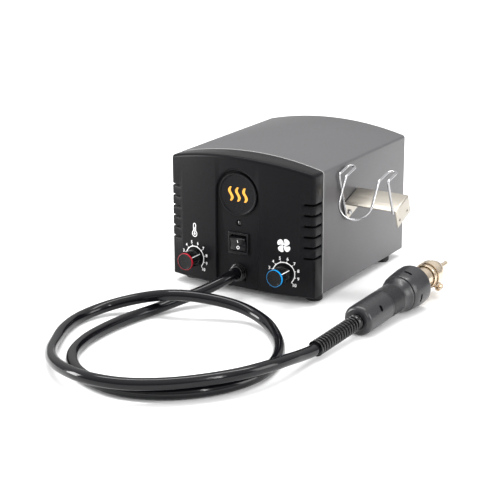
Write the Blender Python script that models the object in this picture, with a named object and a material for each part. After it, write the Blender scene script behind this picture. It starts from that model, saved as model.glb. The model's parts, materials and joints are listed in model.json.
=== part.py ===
"""Hot-air rework station: control box, wire cradle, air hose and hot-air handpiece.

The box's own frame has X to the right, Y to the back and Z up. X is 0 in the middle of the
box, Y is 0 where the bezel meets the cover, and Z is 0 under the cover. The empty "station"
carries everything: it puts the middle of the footprint at the world origin, feet at height 0.
"""

import math

import bmesh
import bpy
from mathutils import Matrix, Vector

MM = 0.001
GAP = 0.3 * MM

# Control box
BOX_WIDTH = 150 * MM
HALF_WIDTH = BOX_WIDTH / 2
COVER_LENGTH = 161 * MM
SHEET = 1.2 * MM
ARCH_TOP = 122.7 * MM
ARCH_RADIUS = 304 * MM
ARCH_CENTRE_Z = ARCH_TOP - ARCH_RADIUS
COVER_CORNER = 3 * MM
COVER_FLANGE = 14 * MM
TRAY_HEIGHT = 9 * MM
REAR_Y = COVER_LENGTH - 2.2 * MM

# Front bezel
BEZEL_CORNER = 4 * MM
BEZEL_EDGE_Y = -16.3 * MM
BEZEL_BOW = 8.5 * MM
BEZEL_FACE_WALL = 6.5 * MM
BEZEL_WALL = 2.5 * MM
BEZEL_ROUNDING = 3 * MM
CHANNEL_HALF = 22 * MM
CHANNEL_Y = -20.6 * MM
BADGE_Z = 87.5 * MM
BADGE_RADIUS = 19.7 * MM
LED_Z = 60.5 * MM
SLOT_TOP_Z = 86 * MM
SLOT_PITCH = 9.8 * MM
SLOT_COUNT = 6
PEG = (30 * MM, 5.6 * MM)
PEG_RADIUS = 2.2 * MM

# Rocker switch
ROCKER_Z = 41.8 * MM
ROCKER_FRAME = (21.5 * MM, 20.5 * MM)
ROCKER_BODY = (19 * MM, 18 * MM)
ROCKER_OPENING = (16.4 * MM, 14.4 * MM)
ROCKER_AXIS_Y = -17.2 * MM
ROCKER_ANGLE = math.radians(8)

# Dials
DIAL_X = 47.15 * MM
DIAL_Z = 21.2 * MM
KNOB_RADIUS = 7.8 * MM
KNOB_LENGTH = 15.5 * MM
KNOB_BACK_Y = -22.9 * MM
SHAFT_RADIUS = 3 * MM

# Hose and its outlet
BUSHING_Z = 14.5 * MM
BUSHING_RADIUS = 8.2 * MM
BUSHING_NECK = 7 * MM
BUSHING_FRONT_Y = -27 * MM
HOSE_RADIUS = 5 * MM

# Feet
FOOT_HEIGHT = 7 * MM
FOOT_RADIUS = 7.5 * MM
FOOT_X = 64.8 * MM
FOOT_FRONT_Y = 3.2 * MM
FOOT_REAR_Y = 136 * MM
STEM_RADIUS = 2.2 * MM

# Screws
SCREW_RADIUS = 1.5 * MM
SCREW_HEAD = 2.8 * MM

# Handpiece, along its own +Y axis from the rear end of the barrel
BARREL_RADIUS = 13.4 * MM
SHELL_BORE = 11.2 * MM
BARREL_END = 40.5 * MM
GRIP_END = 72 * MM
LIP_RADIUS = 16.2 * MM
COLLAR_RADIUS = 18.4 * MM
COLLAR_END = 99 * MM
HEATER_RADIUS = 9.6 * MM
HEATER_END = 128 * MM
SKIRT_START = 120 * MM
SKIRT_END = 133 * MM
SKIRT_RADIUS = 11 * MM
NOZZLE_END = 160 * MM
TIP_RADIUS = 2.3 * MM
CLAMP_PLACE = 127.5 * MM
CLAMP_EAR_TURN = math.radians(-45)
BOOT_LENGTH = 64 * MM
BOOT_RADIUS = 7 * MM
BOOT_RIBS = 9
HANDPIECE_REAR = (141.7 * MM, -62.5 * MM)
HANDPIECE_YAW = math.radians(-3.2)
REAR_CONTACT = 5 * MM
FRONT_CONTACT = 91 * MM
HANDPIECE_PITCH = math.atan((COLLAR_RADIUS - BARREL_RADIUS) / (FRONT_CONTACT - REAR_CONTACT))

# Cradle: a folded bracket on the right side, and one bent wire
BRACKET_WIDTH = 52.5 * MM
BRACKET_LENGTH = 27 * MM
BRACKET_FLANGE = 17.5 * MM
BRACKET_TILT = math.radians(20)
BRACKET_CORNER = (HALF_WIDTH + GAP, 36.5 * MM, 76 * MM)
BRACKET_HOLES = (5.3 * MM, 20.5 * MM)
BRACKET_HOLE_DROP = 12.5 * MM
WIRE_RADIUS = 1.1 * MM
CRADLE_X = 101.2 * MM
POST_OFFSET = 24.2 * MM
SADDLE_RADIUS = 16.2 * MM
SADDLE_LEAN = math.radians(30)
SADDLE_STRAIGHT = 21.5 * MM
HOOK_RISE = math.radians(13)
HOOK_LENGTH = 15 * MM

# Rear panel
INLET = (-38 * MM, 38 * MM)
INLET_FLANGE = (30 * MM, 34 * MM)
INLET_BODY = (27 * MM, 31 * MM)
SOCKET_DROP = 5.5 * MM
DRAWER_RISE = 9.5 * MM
EARTH = (-5 * MM, 30 * MM)

# From the box's left side to the collar, and from the barrel's rear end to the mains inlet
FOOTPRINT_MIDDLE = (45.22 * MM, 49.52 * MM)

MATERIALS = {
    "grey_paint": ((0.135, 0.13, 0.14), 0.45, 0.0),
    "black_plastic": ((0.022, 0.022, 0.024), 0.42, 0.0),
    "black_rubber": ((0.012, 0.012, 0.013), 0.5, 0.0),
    "hose_rubber": ((0.012, 0.012, 0.014), 0.28, 0.0),
    "grey_plastic": ((0.055, 0.055, 0.06), 0.55, 0.0),
    "red_plastic": ((0.55, 0.01, 0.015), 0.35, 0.0),
    "blue_plastic": ((0.0, 0.22, 0.65), 0.35, 0.0),
    "smoked_lens": ((0.03, 0.012, 0.012), 0.15, 0.0),
    "nickel": ((0.62, 0.5, 0.36), 0.25, 1.0),
    "stainless": ((0.68, 0.62, 0.54), 0.3, 1.0),
    "chrome": ((0.75, 0.75, 0.76), 0.12, 1.0),
    "zinc_steel": ((0.5, 0.5, 0.52), 0.35, 1.0),
    "brass": ((0.7, 0.5, 0.22), 0.3, 1.0),
    "ceramic": ((0.75, 0.72, 0.66), 0.7, 0.0),
    "board_green": ((0.02, 0.16, 0.06), 0.5, 0.0),
    "copper": ((0.6, 0.24, 0.08), 0.4, 1.0),
    "aluminium": ((0.6, 0.6, 0.62), 0.45, 1.0),
    "laminated_iron": ((0.2, 0.2, 0.21), 0.5, 1.0),
    "silicone": ((0.6, 0.6, 0.55), 0.5, 0.0),
}

# Turns from the Y axis, along which helpers build, to the Z axis and to the X axis
UPRIGHT = Matrix.Rotation(math.pi / 2, 4, "X")
SIDEWAYS = Matrix.Rotation(-math.pi / 2, 4, "Z")


def material(name):
    """The Principled material of that name, made at its first use."""
    made = bpy.data.materials.get(name)
    if made is None:
        colour, roughness, metallic = MATERIALS[name]
        made = bpy.data.materials.new(name)
        made.use_nodes = True
        shader = made.node_tree.nodes["Principled BSDF"]
        shader.inputs["Base Color"].default_value = (*colour, 1.0)
        shader.inputs["Roughness"].default_value = roughness
        shader.inputs["Metallic"].default_value = metallic
    return made


# Mesh helpers. Each one adds a closed body to a bmesh, and finish() makes the object.


def add_loft(bm, rings, place=Matrix()):
    """Skins a list of rings of equal length, with a cap on each end."""
    levels = [[bm.verts.new(place @ Vector(point)) for point in ring] for ring in rings]
    count = len(rings[0])
    for lower, upper in zip(levels, levels[1:]):
        for i in range(count):
            j = (i + 1) % count
            bm.faces.new((lower[i], lower[j], upper[j], upper[i]))
    bm.faces.new(levels[0])
    bm.faces.new(levels[-1])


def add_box(bm, low, high, place=Matrix()):
    """A box from its lowest to its highest corner."""
    x0, y0, z0 = low
    x1, y1, z1 = high
    rings = [[(x0, y0, z), (x1, y0, z), (x1, y1, z), (x0, y1, z)] for z in (z0, z1)]
    add_loft(bm, rings, place)


def add_prism(bm, outline, y0, y1, place=Matrix()):
    """An outline of (x, z) points, extruded along Y."""
    add_loft(bm, [[(x, y, z) for x, z in outline] for y in (y0, y1)], place)


def rectangle(size, centre=(0, 0)):
    """The corners of a rectangle in the XZ plane."""
    half_x, half_z = size[0] / 2, size[1] / 2
    x, z = centre
    return [(x - half_x, z - half_z), (x + half_x, z - half_z), (x + half_x, z + half_z), (x - half_x, z + half_z)]


def arc(radius, start, end, steps, centre=(0, 0)):
    """Points on an arc, both ends included."""
    turns = [start + (end - start) * i / steps for i in range(steps + 1)]
    return [(centre[0] + radius * math.cos(turn), centre[1] + radius * math.sin(turn)) for turn in turns]


def add_turned(bm, profile, segments=20, place=Matrix()):
    """Turns (radius, y) pairs about Y. Radius 0 at both ends closes the shape, else it is a ring."""
    step = 2 * math.pi / segments
    levels = []
    for radius, y in profile:
        if radius == 0:
            points = [(0, y, 0)]
        else:
            points = [(radius * math.cos(i * step), y, radius * math.sin(i * step)) for i in range(segments)]
        levels.append([bm.verts.new(place @ Vector(point)) for point in points])
    pairs = list(zip(levels, levels[1:]))
    if profile[0][0] != 0:
        pairs.append((levels[-1], levels[0]))
    for lower, upper in pairs:
        for i in range(segments):
            j = (i + 1) % segments
            if len(lower) == 1:
                bm.faces.new((lower[0], upper[i], upper[j]))
            elif len(upper) == 1:
                bm.faces.new((lower[i], lower[j], upper[0]))
            else:
                bm.faces.new((lower[i], lower[j], upper[j], upper[i]))


def add_rod(bm, radius, y0, y1, segments=16, place=Matrix()):
    """A plain cylinder along Y."""
    add_turned(bm, [(0, y0), (radius, y0), (radius, y1), (0, y1)], segments, place)


def add_screw(bm, length, place, head=SCREW_HEAD, segments=12):
    """A pan-head screw whose head stands on -Y of the origin and whose shank runs to +Y."""
    profile = [(0, -2 * MM), (head * 0.75, -2 * MM), (head, -1.2 * MM), (head, 0),
               (SCREW_RADIUS, 0), (SCREW_RADIUS, length), (0, length)]
    add_turned(bm, profile, segments, place)


def finish(name, bm, made_of, parent, crease=35):
    """Turns the bmesh into a smooth-shaded object with outward faces."""
    bmesh.ops.recalc_face_normals(bm, faces=bm.faces)
    mesh = bpy.data.meshes.new(name)
    bm.to_mesh(mesh)
    bm.free()
    mesh.shade_smooth()
    mesh.set_sharp_from_angle(angle=math.radians(crease))
    mesh.materials.append(material(made_of))
    made = bpy.data.objects.new(name, mesh)
    bpy.context.scene.collection.objects.link(made)
    made.parent = parent
    return made


def shape(target, name, bm, operation="DIFFERENCE"):
    """Cuts the bmesh's bodies out of the target, or joins them to it."""
    tool = finish(name, bm, target.data.materials[0].name, target.parent)
    tool.hide_render = True
    tool.display_type = "WIRE"
    step = target.modifiers.new(name, "BOOLEAN")
    step.operation = operation
    step.solver = "EXACT"
    step.object = tool


def empty(name, parent, location, rotation=(0, 0, 0)):
    """An empty that holds a joint's axis, or the frame of one assembly."""
    made = bpy.data.objects.new(name, None)
    made.empty_display_size = 0.01
    bpy.context.scene.collection.objects.link(made)
    made.parent = parent
    made.location = location
    made.rotation_euler = rotation
    return made


def tube(name, points, radius, made_of, parent):
    """A round tube along a list of points, as a curve with filled ends."""
    curve = bpy.data.curves.new(name, "CURVE")
    curve.dimensions = "3D"
    curve.bevel_depth = radius
    curve.bevel_resolution = 2
    curve.use_fill_caps = True
    spline = curve.splines.new("POLY")
    spline.points.add(len(points) - 1)
    for slot, point in zip(spline.points, points):
        slot.co = (*point, 1.0)
    curve.materials.append(material(made_of))
    made = bpy.data.objects.new(name, curve)
    bpy.context.scene.collection.objects.link(made)
    made.parent = parent
    return made


def smooth_path(route, spacing):
    """Reads a centripetal Catmull-Rom curve through the route at an even spacing."""
    points = [Vector(point) for point in route]
    points = [2 * points[0] - points[1]] + points + [2 * points[-1] - points[-2]]
    fine = []
    for p0, p1, p2, p3 in zip(points, points[1:], points[2:], points[3:]):
        t1 = math.sqrt((p1 - p0).length)
        t2 = t1 + math.sqrt((p2 - p1).length)
        t3 = t2 + math.sqrt((p3 - p2).length)
        for i in range(16):
            t = t1 + (t2 - t1) * i / 16
            a1 = p0 * ((t1 - t) / t1) + p1 * (t / t1)
            a2 = p1 * ((t2 - t) / (t2 - t1)) + p2 * ((t - t1) / (t2 - t1))
            a3 = p2 * ((t3 - t) / (t3 - t2)) + p3 * ((t - t2) / (t3 - t2))
            b1 = a1 * ((t2 - t) / t2) + a2 * (t / t2)
            b2 = a2 * ((t3 - t) / (t3 - t1)) + a3 * ((t - t1) / (t3 - t1))
            fine.append(b1 * ((t2 - t) / (t2 - t1)) + b2 * ((t - t1) / (t2 - t1)))
    fine.append(points[-2])
    total = sum((b - a).length for a, b in zip(fine, fine[1:]))
    count = round(total / spacing)
    even = [fine[0]]
    walked = 0.0
    for a, b in zip(fine, fine[1:]):
        step = (b - a).length
        while len(even) < count and walked + step >= total * len(even) / count:
            even.append(a.lerp(b, (total * len(even) / count - walked) / step))
        walked += step
    even.append(fine[-1])
    return even


# The box's cross-section: straight sides, small corner arcs and a low arch.


def hood_columns(half_width, radius, corner, arch_steps=10, corner_steps=2):
    """Points over the top, from the left side to the right side."""
    reach = half_width - corner
    corner_z = ARCH_CENTRE_Z + math.sqrt((radius - corner) ** 2 - reach ** 2)
    tilt = math.asin(reach / (radius - corner))
    right = arc(corner, math.pi / 2 - tilt, 0, corner_steps, (reach, corner_z))
    left = [(-x, z) for x, z in right[::-1]]
    middle = arc(radius, math.pi / 2 + tilt, math.pi / 2 - tilt, arch_steps, (0, ARCH_CENTRE_Z))
    return left + middle[1:-1] + right


def bezel_front_y(x):
    """The bowed front of the bezel, furthest forward in the middle."""
    return BEZEL_EDGE_Y - BEZEL_BOW * (1 - (x / HALF_WIDTH) ** 2)


def add_bezel_body(bm, inset, rounding, depth, back_y):
    """A body with the hood's outline, a bowed front and a rounded front edge."""
    steps = 3
    rings = []
    for i in range(-1, steps + 1):
        turn = math.pi / 2 * max(i, 0) / steps
        shrink = inset + rounding * (1 - math.cos(turn))
        back = depth + rounding * (1 - math.sin(turn))
        corner = max(BEZEL_CORNER - shrink, 0.6 * MM)
        tops = hood_columns(HALF_WIDTH - shrink, ARCH_RADIUS - shrink, corner)
        floors = [(x, shrink) for x, _ in tops]
        outline = tops + floors[::-1]
        rings.append([(x, back_y if i < 0 else bezel_front_y(x) + back, z) for x, z in outline])
    levels = [[bm.verts.new(point) for point in ring] for ring in rings]
    count = len(rings[0])
    for lower, upper in zip(levels, levels[1:]):
        for i in range(count):
            j = (i + 1) % count
            bm.faces.new((lower[i], lower[j], upper[j], upper[i]))
    bm.faces.new(levels[0])
    face = levels[-1]
    for i in range(count // 2 - 1):
        bm.faces.new((face[i], face[i + 1], face[count - 2 - i], face[count - 1 - i]))


def slot_outline(half, top_z):
    """An upright slot with a round top, open below the bezel."""
    return [(half, -2 * MM)] + arc(half, 0, math.pi, 14, (0, top_z)) + [(-half, -2 * MM)]


def foot_places():
    """The four feet, as a name and a place."""
    for row, y in (("front", FOOT_FRONT_Y), ("rear", FOOT_REAR_Y)):
        for side, x in (("left", -FOOT_X), ("right", FOOT_X)):
            yield f"foot_{row}_{side}", Vector((x, y, 0))


def foot_holes(z0, z1):
    """Upright pins that cut the holes of the feet's stems."""
    bm = bmesh.new()
    for _, place in foot_places():
        add_rod(bm, STEM_RADIUS + GAP, z0, z1, 16, Matrix.Translation(place) @ UPRIGHT)
    return bm


def bracket_frame():
    """The bracket's own frame: +Y along its plate and up to the back, Z across the plate."""
    return Matrix.Translation(BRACKET_CORNER) @ Matrix.Rotation(BRACKET_TILT, 4, "X")


def bracket_screw_place(along):
    """A frame on the inner flange whose +Y points into the box."""
    local = Matrix.Translation((SHEET + GAP, along, -BRACKET_HOLE_DROP))
    return bracket_frame() @ local @ SIDEWAYS.inverted()


def build_cover(station):
    """The painted sheet cover: two sides, the arched top and turned-in bottom flanges."""
    flange_x = HALF_WIDTH - COVER_FLANGE
    inner_x = HALF_WIDTH - SHEET
    outer = hood_columns(HALF_WIDTH, ARCH_RADIUS, COVER_CORNER)
    inner = hood_columns(inner_x, ARCH_RADIUS - SHEET, COVER_CORNER - SHEET)
    outer = [(-flange_x, 0), (-HALF_WIDTH, 0)] + outer + [(HALF_WIDTH, 0), (flange_x, 0)]
    inner = [(-flange_x, SHEET), (-inner_x, SHEET)] + inner + [(inner_x, SHEET), (flange_x, SHEET)]
    bm = bmesh.new()
    rows = []
    for outline, y in ((outer, 0), (outer, COVER_LENGTH), (inner, COVER_LENGTH), (inner, 0)):
        rows.append([bm.verts.new((x, y, z)) for x, z in outline])
    for row, following in zip(rows, rows[1:] + rows[:1]):
        for i in range(len(outer) - 1):
            bm.faces.new((row[i], row[i + 1], following[i + 1], following[i]))
    for end in (0, -1):
        bm.faces.new([row[end] for row in rows])
    cover = finish("cover", bm, "grey_paint", station)
    holes = foot_holes(-1 * MM, SHEET + MM)
    for along in BRACKET_HOLES:
        add_rod(holes, SCREW_RADIUS + GAP, -2 * MM, 6 * MM, 12, bracket_screw_place(along))
    shape(cover, "cut_cover_holes", holes)


def build_base_pan(station):
    """A sheet tray with four upright flanges, which carries everything inside."""
    low_z = SHEET + GAP
    half = HALF_WIDTH - SHEET - GAP
    back_y = REAR_Y - GAP
    bm = bmesh.new()
    add_box(bm, (-half, GAP, low_z), (half, back_y, TRAY_HEIGHT))
    pan = finish("base_pan", bm, "zinc_steel", station)
    bm = bmesh.new()
    inside = (-half + SHEET, GAP + SHEET, low_z + SHEET)
    add_box(bm, inside, (half - SHEET, back_y - SHEET, TRAY_HEIGHT + MM))
    shape(pan, "cut_pan_inside", bm)
    holes = foot_holes(0, 7 * MM)
    for x in (-PEG[0], PEG[0]):
        place = Matrix.Translation((x, 0, PEG[1]))
        add_rod(holes, PEG_RADIUS + GAP, -1 * MM, 3 * MM, 16, place)
        add_rod(holes, SCREW_RADIUS + GAP, REAR_Y - 4 * MM, REAR_Y + MM, 12, place)
    shape(pan, "cut_pan_holes", holes)


def build_feet(station):
    """Rubber feet, whose stems push through the cover's flanges and the pan."""
    for name, place in foot_places():
        bm = bmesh.new()
        profile = [(0, -FOOT_HEIGHT + 2 * MM), (2.8 * MM, -FOOT_HEIGHT + 2 * MM), (3.5 * MM, -FOOT_HEIGHT),
                   (FOOT_RADIUS - MM, -FOOT_HEIGHT), (FOOT_RADIUS, -FOOT_HEIGHT + MM), (FOOT_RADIUS, -GAP),
                   (STEM_RADIUS, -GAP), (STEM_RADIUS, 4.4 * MM), (1.4 * MM, 5.5 * MM), (0, 5.5 * MM)]
        add_turned(bm, profile, 20, UPRIGHT)
        finish(name, bm, "black_rubber", station).location = place


def build_bezel(station):
    """The moulded front with its channel, openings, vents and locating pegs."""
    bm = bmesh.new()
    add_bezel_body(bm, 0, BEZEL_ROUNDING, 0, -GAP)
    bezel = finish("front_bezel", bm, "black_plastic", station, 50)
    bm = bmesh.new()
    add_bezel_body(bm, BEZEL_WALL, MM, BEZEL_FACE_WALL, MM)
    shape(bezel, "cut_bezel_inside", bm)
    bm = bmesh.new()
    for x in (-PEG[0], PEG[0]):
        add_rod(bm, PEG_RADIUS, -19 * MM, 4 * MM, 16, Matrix.Translation((x, 0, PEG[1])))
    shape(bezel, "join_bezel_pegs", bm, "UNION")
    bm = bmesh.new()
    add_prism(bm, slot_outline(CHANNEL_HALF, BADGE_Z), -40 * MM, CHANNEL_Y)
    shape(bezel, "cut_channel", bm)
    bm = bmesh.new()
    badge_place = Matrix.Translation((0, 0, BADGE_Z))
    add_rod(bm, BADGE_RADIUS + GAP, CHANNEL_Y - MM, CHANNEL_Y + MM, 36, badge_place)
    add_rod(bm, 2.6 * MM, -30 * MM, -10 * MM, 16, Matrix.Translation((0, 0, LED_Z)))
    opening = (ROCKER_BODY[0] + 2 * GAP, ROCKER_BODY[1] + 2 * GAP)
    add_prism(bm, rectangle(opening, (0, ROCKER_Z)), -30 * MM, -10 * MM)
    add_prism(bm, slot_outline(BUSHING_NECK + GAP, BUSHING_Z), -30 * MM, -15 * MM)
    for x in (-DIAL_X, DIAL_X):
        add_rod(bm, 4.8 * MM, -30 * MM, -10 * MM, 16, Matrix.Translation((x, 0, DIAL_Z)))
    for i in range(SLOT_COUNT):
        z = SLOT_TOP_Z - i * SLOT_PITCH
        for side in (-1, 1):
            inner_x, outer_x = sorted((side * 65 * MM, side * 80 * MM))
            add_box(bm, (inner_x, -30 * MM, z - 0.9 * MM), (outer_x, -3 * MM, z + 0.9 * MM))
    shape(bezel, "cut_bezel_openings", bm)

    bm = bmesh.new()
    add_box(bm, (-BUSHING_NECK, CHANNEL_Y, GAP), (BUSHING_NECK, -17.4 * MM, 7 * MM))
    finish("hose_slot_insert", bm, "black_plastic", station)

    bm = bmesh.new()
    face_y = CHANNEL_Y - 1.3 * MM
    rim_y = face_y - 0.8 * MM
    profile = [(0, CHANNEL_Y + MM - GAP), (BADGE_RADIUS, CHANNEL_Y + MM - GAP), (BADGE_RADIUS, rim_y + 0.5 * MM),
               (BADGE_RADIUS - 0.5 * MM, rim_y), (18.2 * MM, rim_y), (17.8 * MM, face_y), (0, face_y)]
    add_turned(bm, profile, 36, badge_place)
    finish("badge_disc", bm, "black_plastic", station)

    bm = bmesh.new()
    profile = [(0, -12 * MM), (2.2 * MM, -12 * MM), (2.2 * MM, -19 * MM), (1.6 * MM, -19.9 * MM), (0, -20.3 * MM)]
    add_turned(bm, profile, 16, Matrix.Translation((0, 0, LED_Z)))
    finish("led_lens", bm, "smoked_lens", station)


def build_rocker(station):
    """The mains switch: a snap-in housing and its paddle on a pin."""
    flange_y = CHANNEL_Y - GAP
    centre = (0, ROCKER_Z)
    bevelled = (ROCKER_FRAME[0] - MM, ROCKER_FRAME[1] - MM)
    levels = [(ROCKER_BODY, MM), (ROCKER_BODY, flange_y), (ROCKER_FRAME, flange_y),
              (ROCKER_FRAME, flange_y - MM), (bevelled, flange_y - 1.5 * MM)]
    bm = bmesh.new()
    add_loft(bm, [[(x, y, z) for x, z in rectangle(size, centre)] for size, y in levels])
    housing = finish("rocker_housing", bm, "black_plastic", station)
    bm = bmesh.new()
    add_prism(bm, rectangle(ROCKER_OPENING, centre), -30 * MM, -6 * MM)
    shape(housing, "cut_rocker_opening", bm)
    axis = Vector((0, ROCKER_AXIS_Y, ROCKER_Z))
    pin_radius = MM
    pin_half = 9 * MM
    bm = bmesh.new()
    add_rod(bm, pin_radius + GAP, -12 * MM, 12 * MM, 12, Matrix.Translation(axis) @ SIDEWAYS)
    shape(housing, "cut_pin_holes", bm)
    bm = bmesh.new()
    add_rod(bm, pin_radius, -pin_half, pin_half, 12, Matrix.Translation(axis) @ SIDEWAYS)
    finish("rocker_pin", bm, "zinc_steel", station)

    tilt = empty("rocker_axis", station, axis, (ROCKER_ANGLE, 0, 0))
    half_x = ROCKER_OPENING[0] / 2 - GAP
    upper = [(-6.2, 5.6), (-4.5, 6.3), (0, 6.7), (3, 5.5)]
    outline = [(-5.0, 0)] + upper + [(y, -z) for y, z in upper[::-1]]
    bm = bmesh.new()
    add_loft(bm, [[(x, y * MM, z * MM) for y, z in outline] for x in (-half_x, half_x)])
    paddle = finish("rocker_paddle", bm, "black_plastic", tilt)
    bm = bmesh.new()
    add_rod(bm, pin_radius + GAP, -12 * MM, 12 * MM, 12, SIDEWAYS)
    shape(paddle, "cut_paddle_bore", bm)


def build_dial(station, name, x, ring_colour):
    """One control: potentiometer, shaft, knob and the coloured ring at the knob's front."""
    axis = empty(f"{name}_axis", station, (x, 0, DIAL_Z))
    body_y = -13.2 * MM
    bore = SHAFT_RADIUS + GAP
    bm = bmesh.new()
    profile = [(bore, -26.5 * MM), (4.4 * MM, -26.5 * MM), (4.4 * MM, body_y),
               (8 * MM, body_y), (8 * MM, -5 * MM), (bore, -5 * MM)]
    add_turned(bm, profile, 20)
    finish(f"{name}_potentiometer", bm, "zinc_steel", axis)
    front = KNOB_BACK_Y - KNOB_LENGTH
    bm = bmesh.new()
    add_rod(bm, SHAFT_RADIUS, front + 4.7 * MM, -4 * MM, 16)
    finish(f"{name}_shaft", bm, "aluminium", axis)
    ring_seat = KNOB_RADIUS - 1.2 * MM
    ring_y = front + 2 * MM
    cavity = KNOB_RADIUS - MM
    bm = bmesh.new()
    profile = [(0, front), (ring_seat - 0.4 * MM, front), (ring_seat, front + 0.4 * MM), (ring_seat, ring_y),
               (KNOB_RADIUS, ring_y), (KNOB_RADIUS, KNOB_BACK_Y), (cavity, KNOB_BACK_Y),
               (cavity, KNOB_BACK_Y - 4.6 * MM), (bore, KNOB_BACK_Y - 4.6 * MM), (bore, front + 4.4 * MM),
               (0, front + 4.4 * MM)]
    add_turned(bm, profile, 24)
    finish(f"{name}_knob", bm, "black_plastic", axis)
    bm = bmesh.new()
    ring_back = ring_y - GAP
    profile = [(ring_seat + GAP, ring_back), (KNOB_RADIUS, ring_back), (KNOB_RADIUS, front + 0.4 * MM),
               (KNOB_RADIUS - 0.3 * MM, front + 0.1 * MM), (ring_seat + GAP, front + 0.1 * MM)]
    add_turned(bm, profile, 24)
    finish(f"{name}_ring", bm, ring_colour, axis)


def build_hose(station, handpiece_place):
    """The air hose from the box to the handpiece, and the bushing that it leaves by."""
    floor_y = CHANNEL_Y - GAP
    bore = HOSE_RADIUS + GAP
    rings = []
    rib_pitch = (floor_y - 2.4 * MM - BUSHING_FRONT_Y) / 2
    for i in range(2):
        y = floor_y - 2.4 * MM - i * rib_pitch
        rings += [(6.3 * MM, y), (6.3 * MM, y - 0.5 * MM), (7.2 * MM, y - 0.8 * MM), (7.2 * MM, y - rib_pitch)]
    profile = [(bore, -15 * MM), (BUSHING_RADIUS, -15 * MM), (BUSHING_RADIUS, -17 * MM), (BUSHING_NECK, -17 * MM),
               (BUSHING_NECK, floor_y), (BUSHING_RADIUS, floor_y), (BUSHING_RADIUS, floor_y - 2 * MM)]
    profile += rings + [(bore, BUSHING_FRONT_Y)]
    bm = bmesh.new()
    add_turned(bm, profile, 20, Matrix.Translation((0, 0, BUSHING_Z)))
    finish("hose_bushing", bm, "black_rubber", station)

    mouth = Vector((0, -21.5 * MM, BUSHING_Z))
    nose, end = [handpiece_place @ Vector((0, -BOOT_LENGTH - s, 0)) for s in (6 * MM, GAP)]
    lie = HOSE_RADIUS - FOOT_HEIGHT + GAP
    route = [
        (0, -29, 14.5), (-3, -41, 12), (-9.5, -55.5, 7.8), (-16.5, -67.5, 4.5), (-25, -81, 1.3),
        (-35, -109, -1.5), (-41, -138, -1.7), (-43, -168, -1.7), (-40.5, -198, -1.7), (-30, -228, -1.7),
        (-10, -251, -1.7), (16, -265, -1.7), (45, -270, -1.7), (75, -261.5, -1.7), (99.5, -243, -1.7),
        (116, -218, -1.7), (123, -189, -1.7), (119, -159, -1.7), (107.5, -132, -1.7), (89, -106.5, -1.7),
        (67, -88, 1), (39, -81, 6), (10, -91.5, 12.3), (-17.5, -102.5, 13.6), (-47, -108, 7.3),
        (-70, -125, 1), (-78.5, -154, -1.7), (-73, -183.5, -1.7), (-61.5, -210, -1.7), (-46, -236, 1),
        (-25, -259.5, 4.4), (0, -276, 7.3), (28, -285, 9.3), (58, -280.5, 9.3), (84, -264, 8.8),
        (105, -243.5, 9), (123, -220, 9.6), (133.8, -192, 8.9), (137.3, -166, 6.6),
        (137.2, -150, 4),
    ]
    path = smooth_path([Vector(point) * MM for point in route] + [nose], 22 * MM)
    path = [mouth] + [Vector((p.x, p.y, max(p.z, lie))) for p in path] + [end]
    tube("hose", path, HOSE_RADIUS, "hose_rubber", station)


def handpiece_matrix():
    """Where the handpiece lies: on its barrel's rear edge and on the collar."""
    x, y = HANDPIECE_REAR
    turn = Matrix.Rotation(HANDPIECE_YAW, 4, "Z") @ Matrix.Rotation(HANDPIECE_PITCH, 4, "X")
    rear_z = BARREL_RADIUS * math.cos(HANDPIECE_PITCH) - REAR_CONTACT * math.sin(HANDPIECE_PITCH) - FOOT_HEIGHT
    return Matrix.Translation((x, y, rear_z)) @ turn


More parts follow.
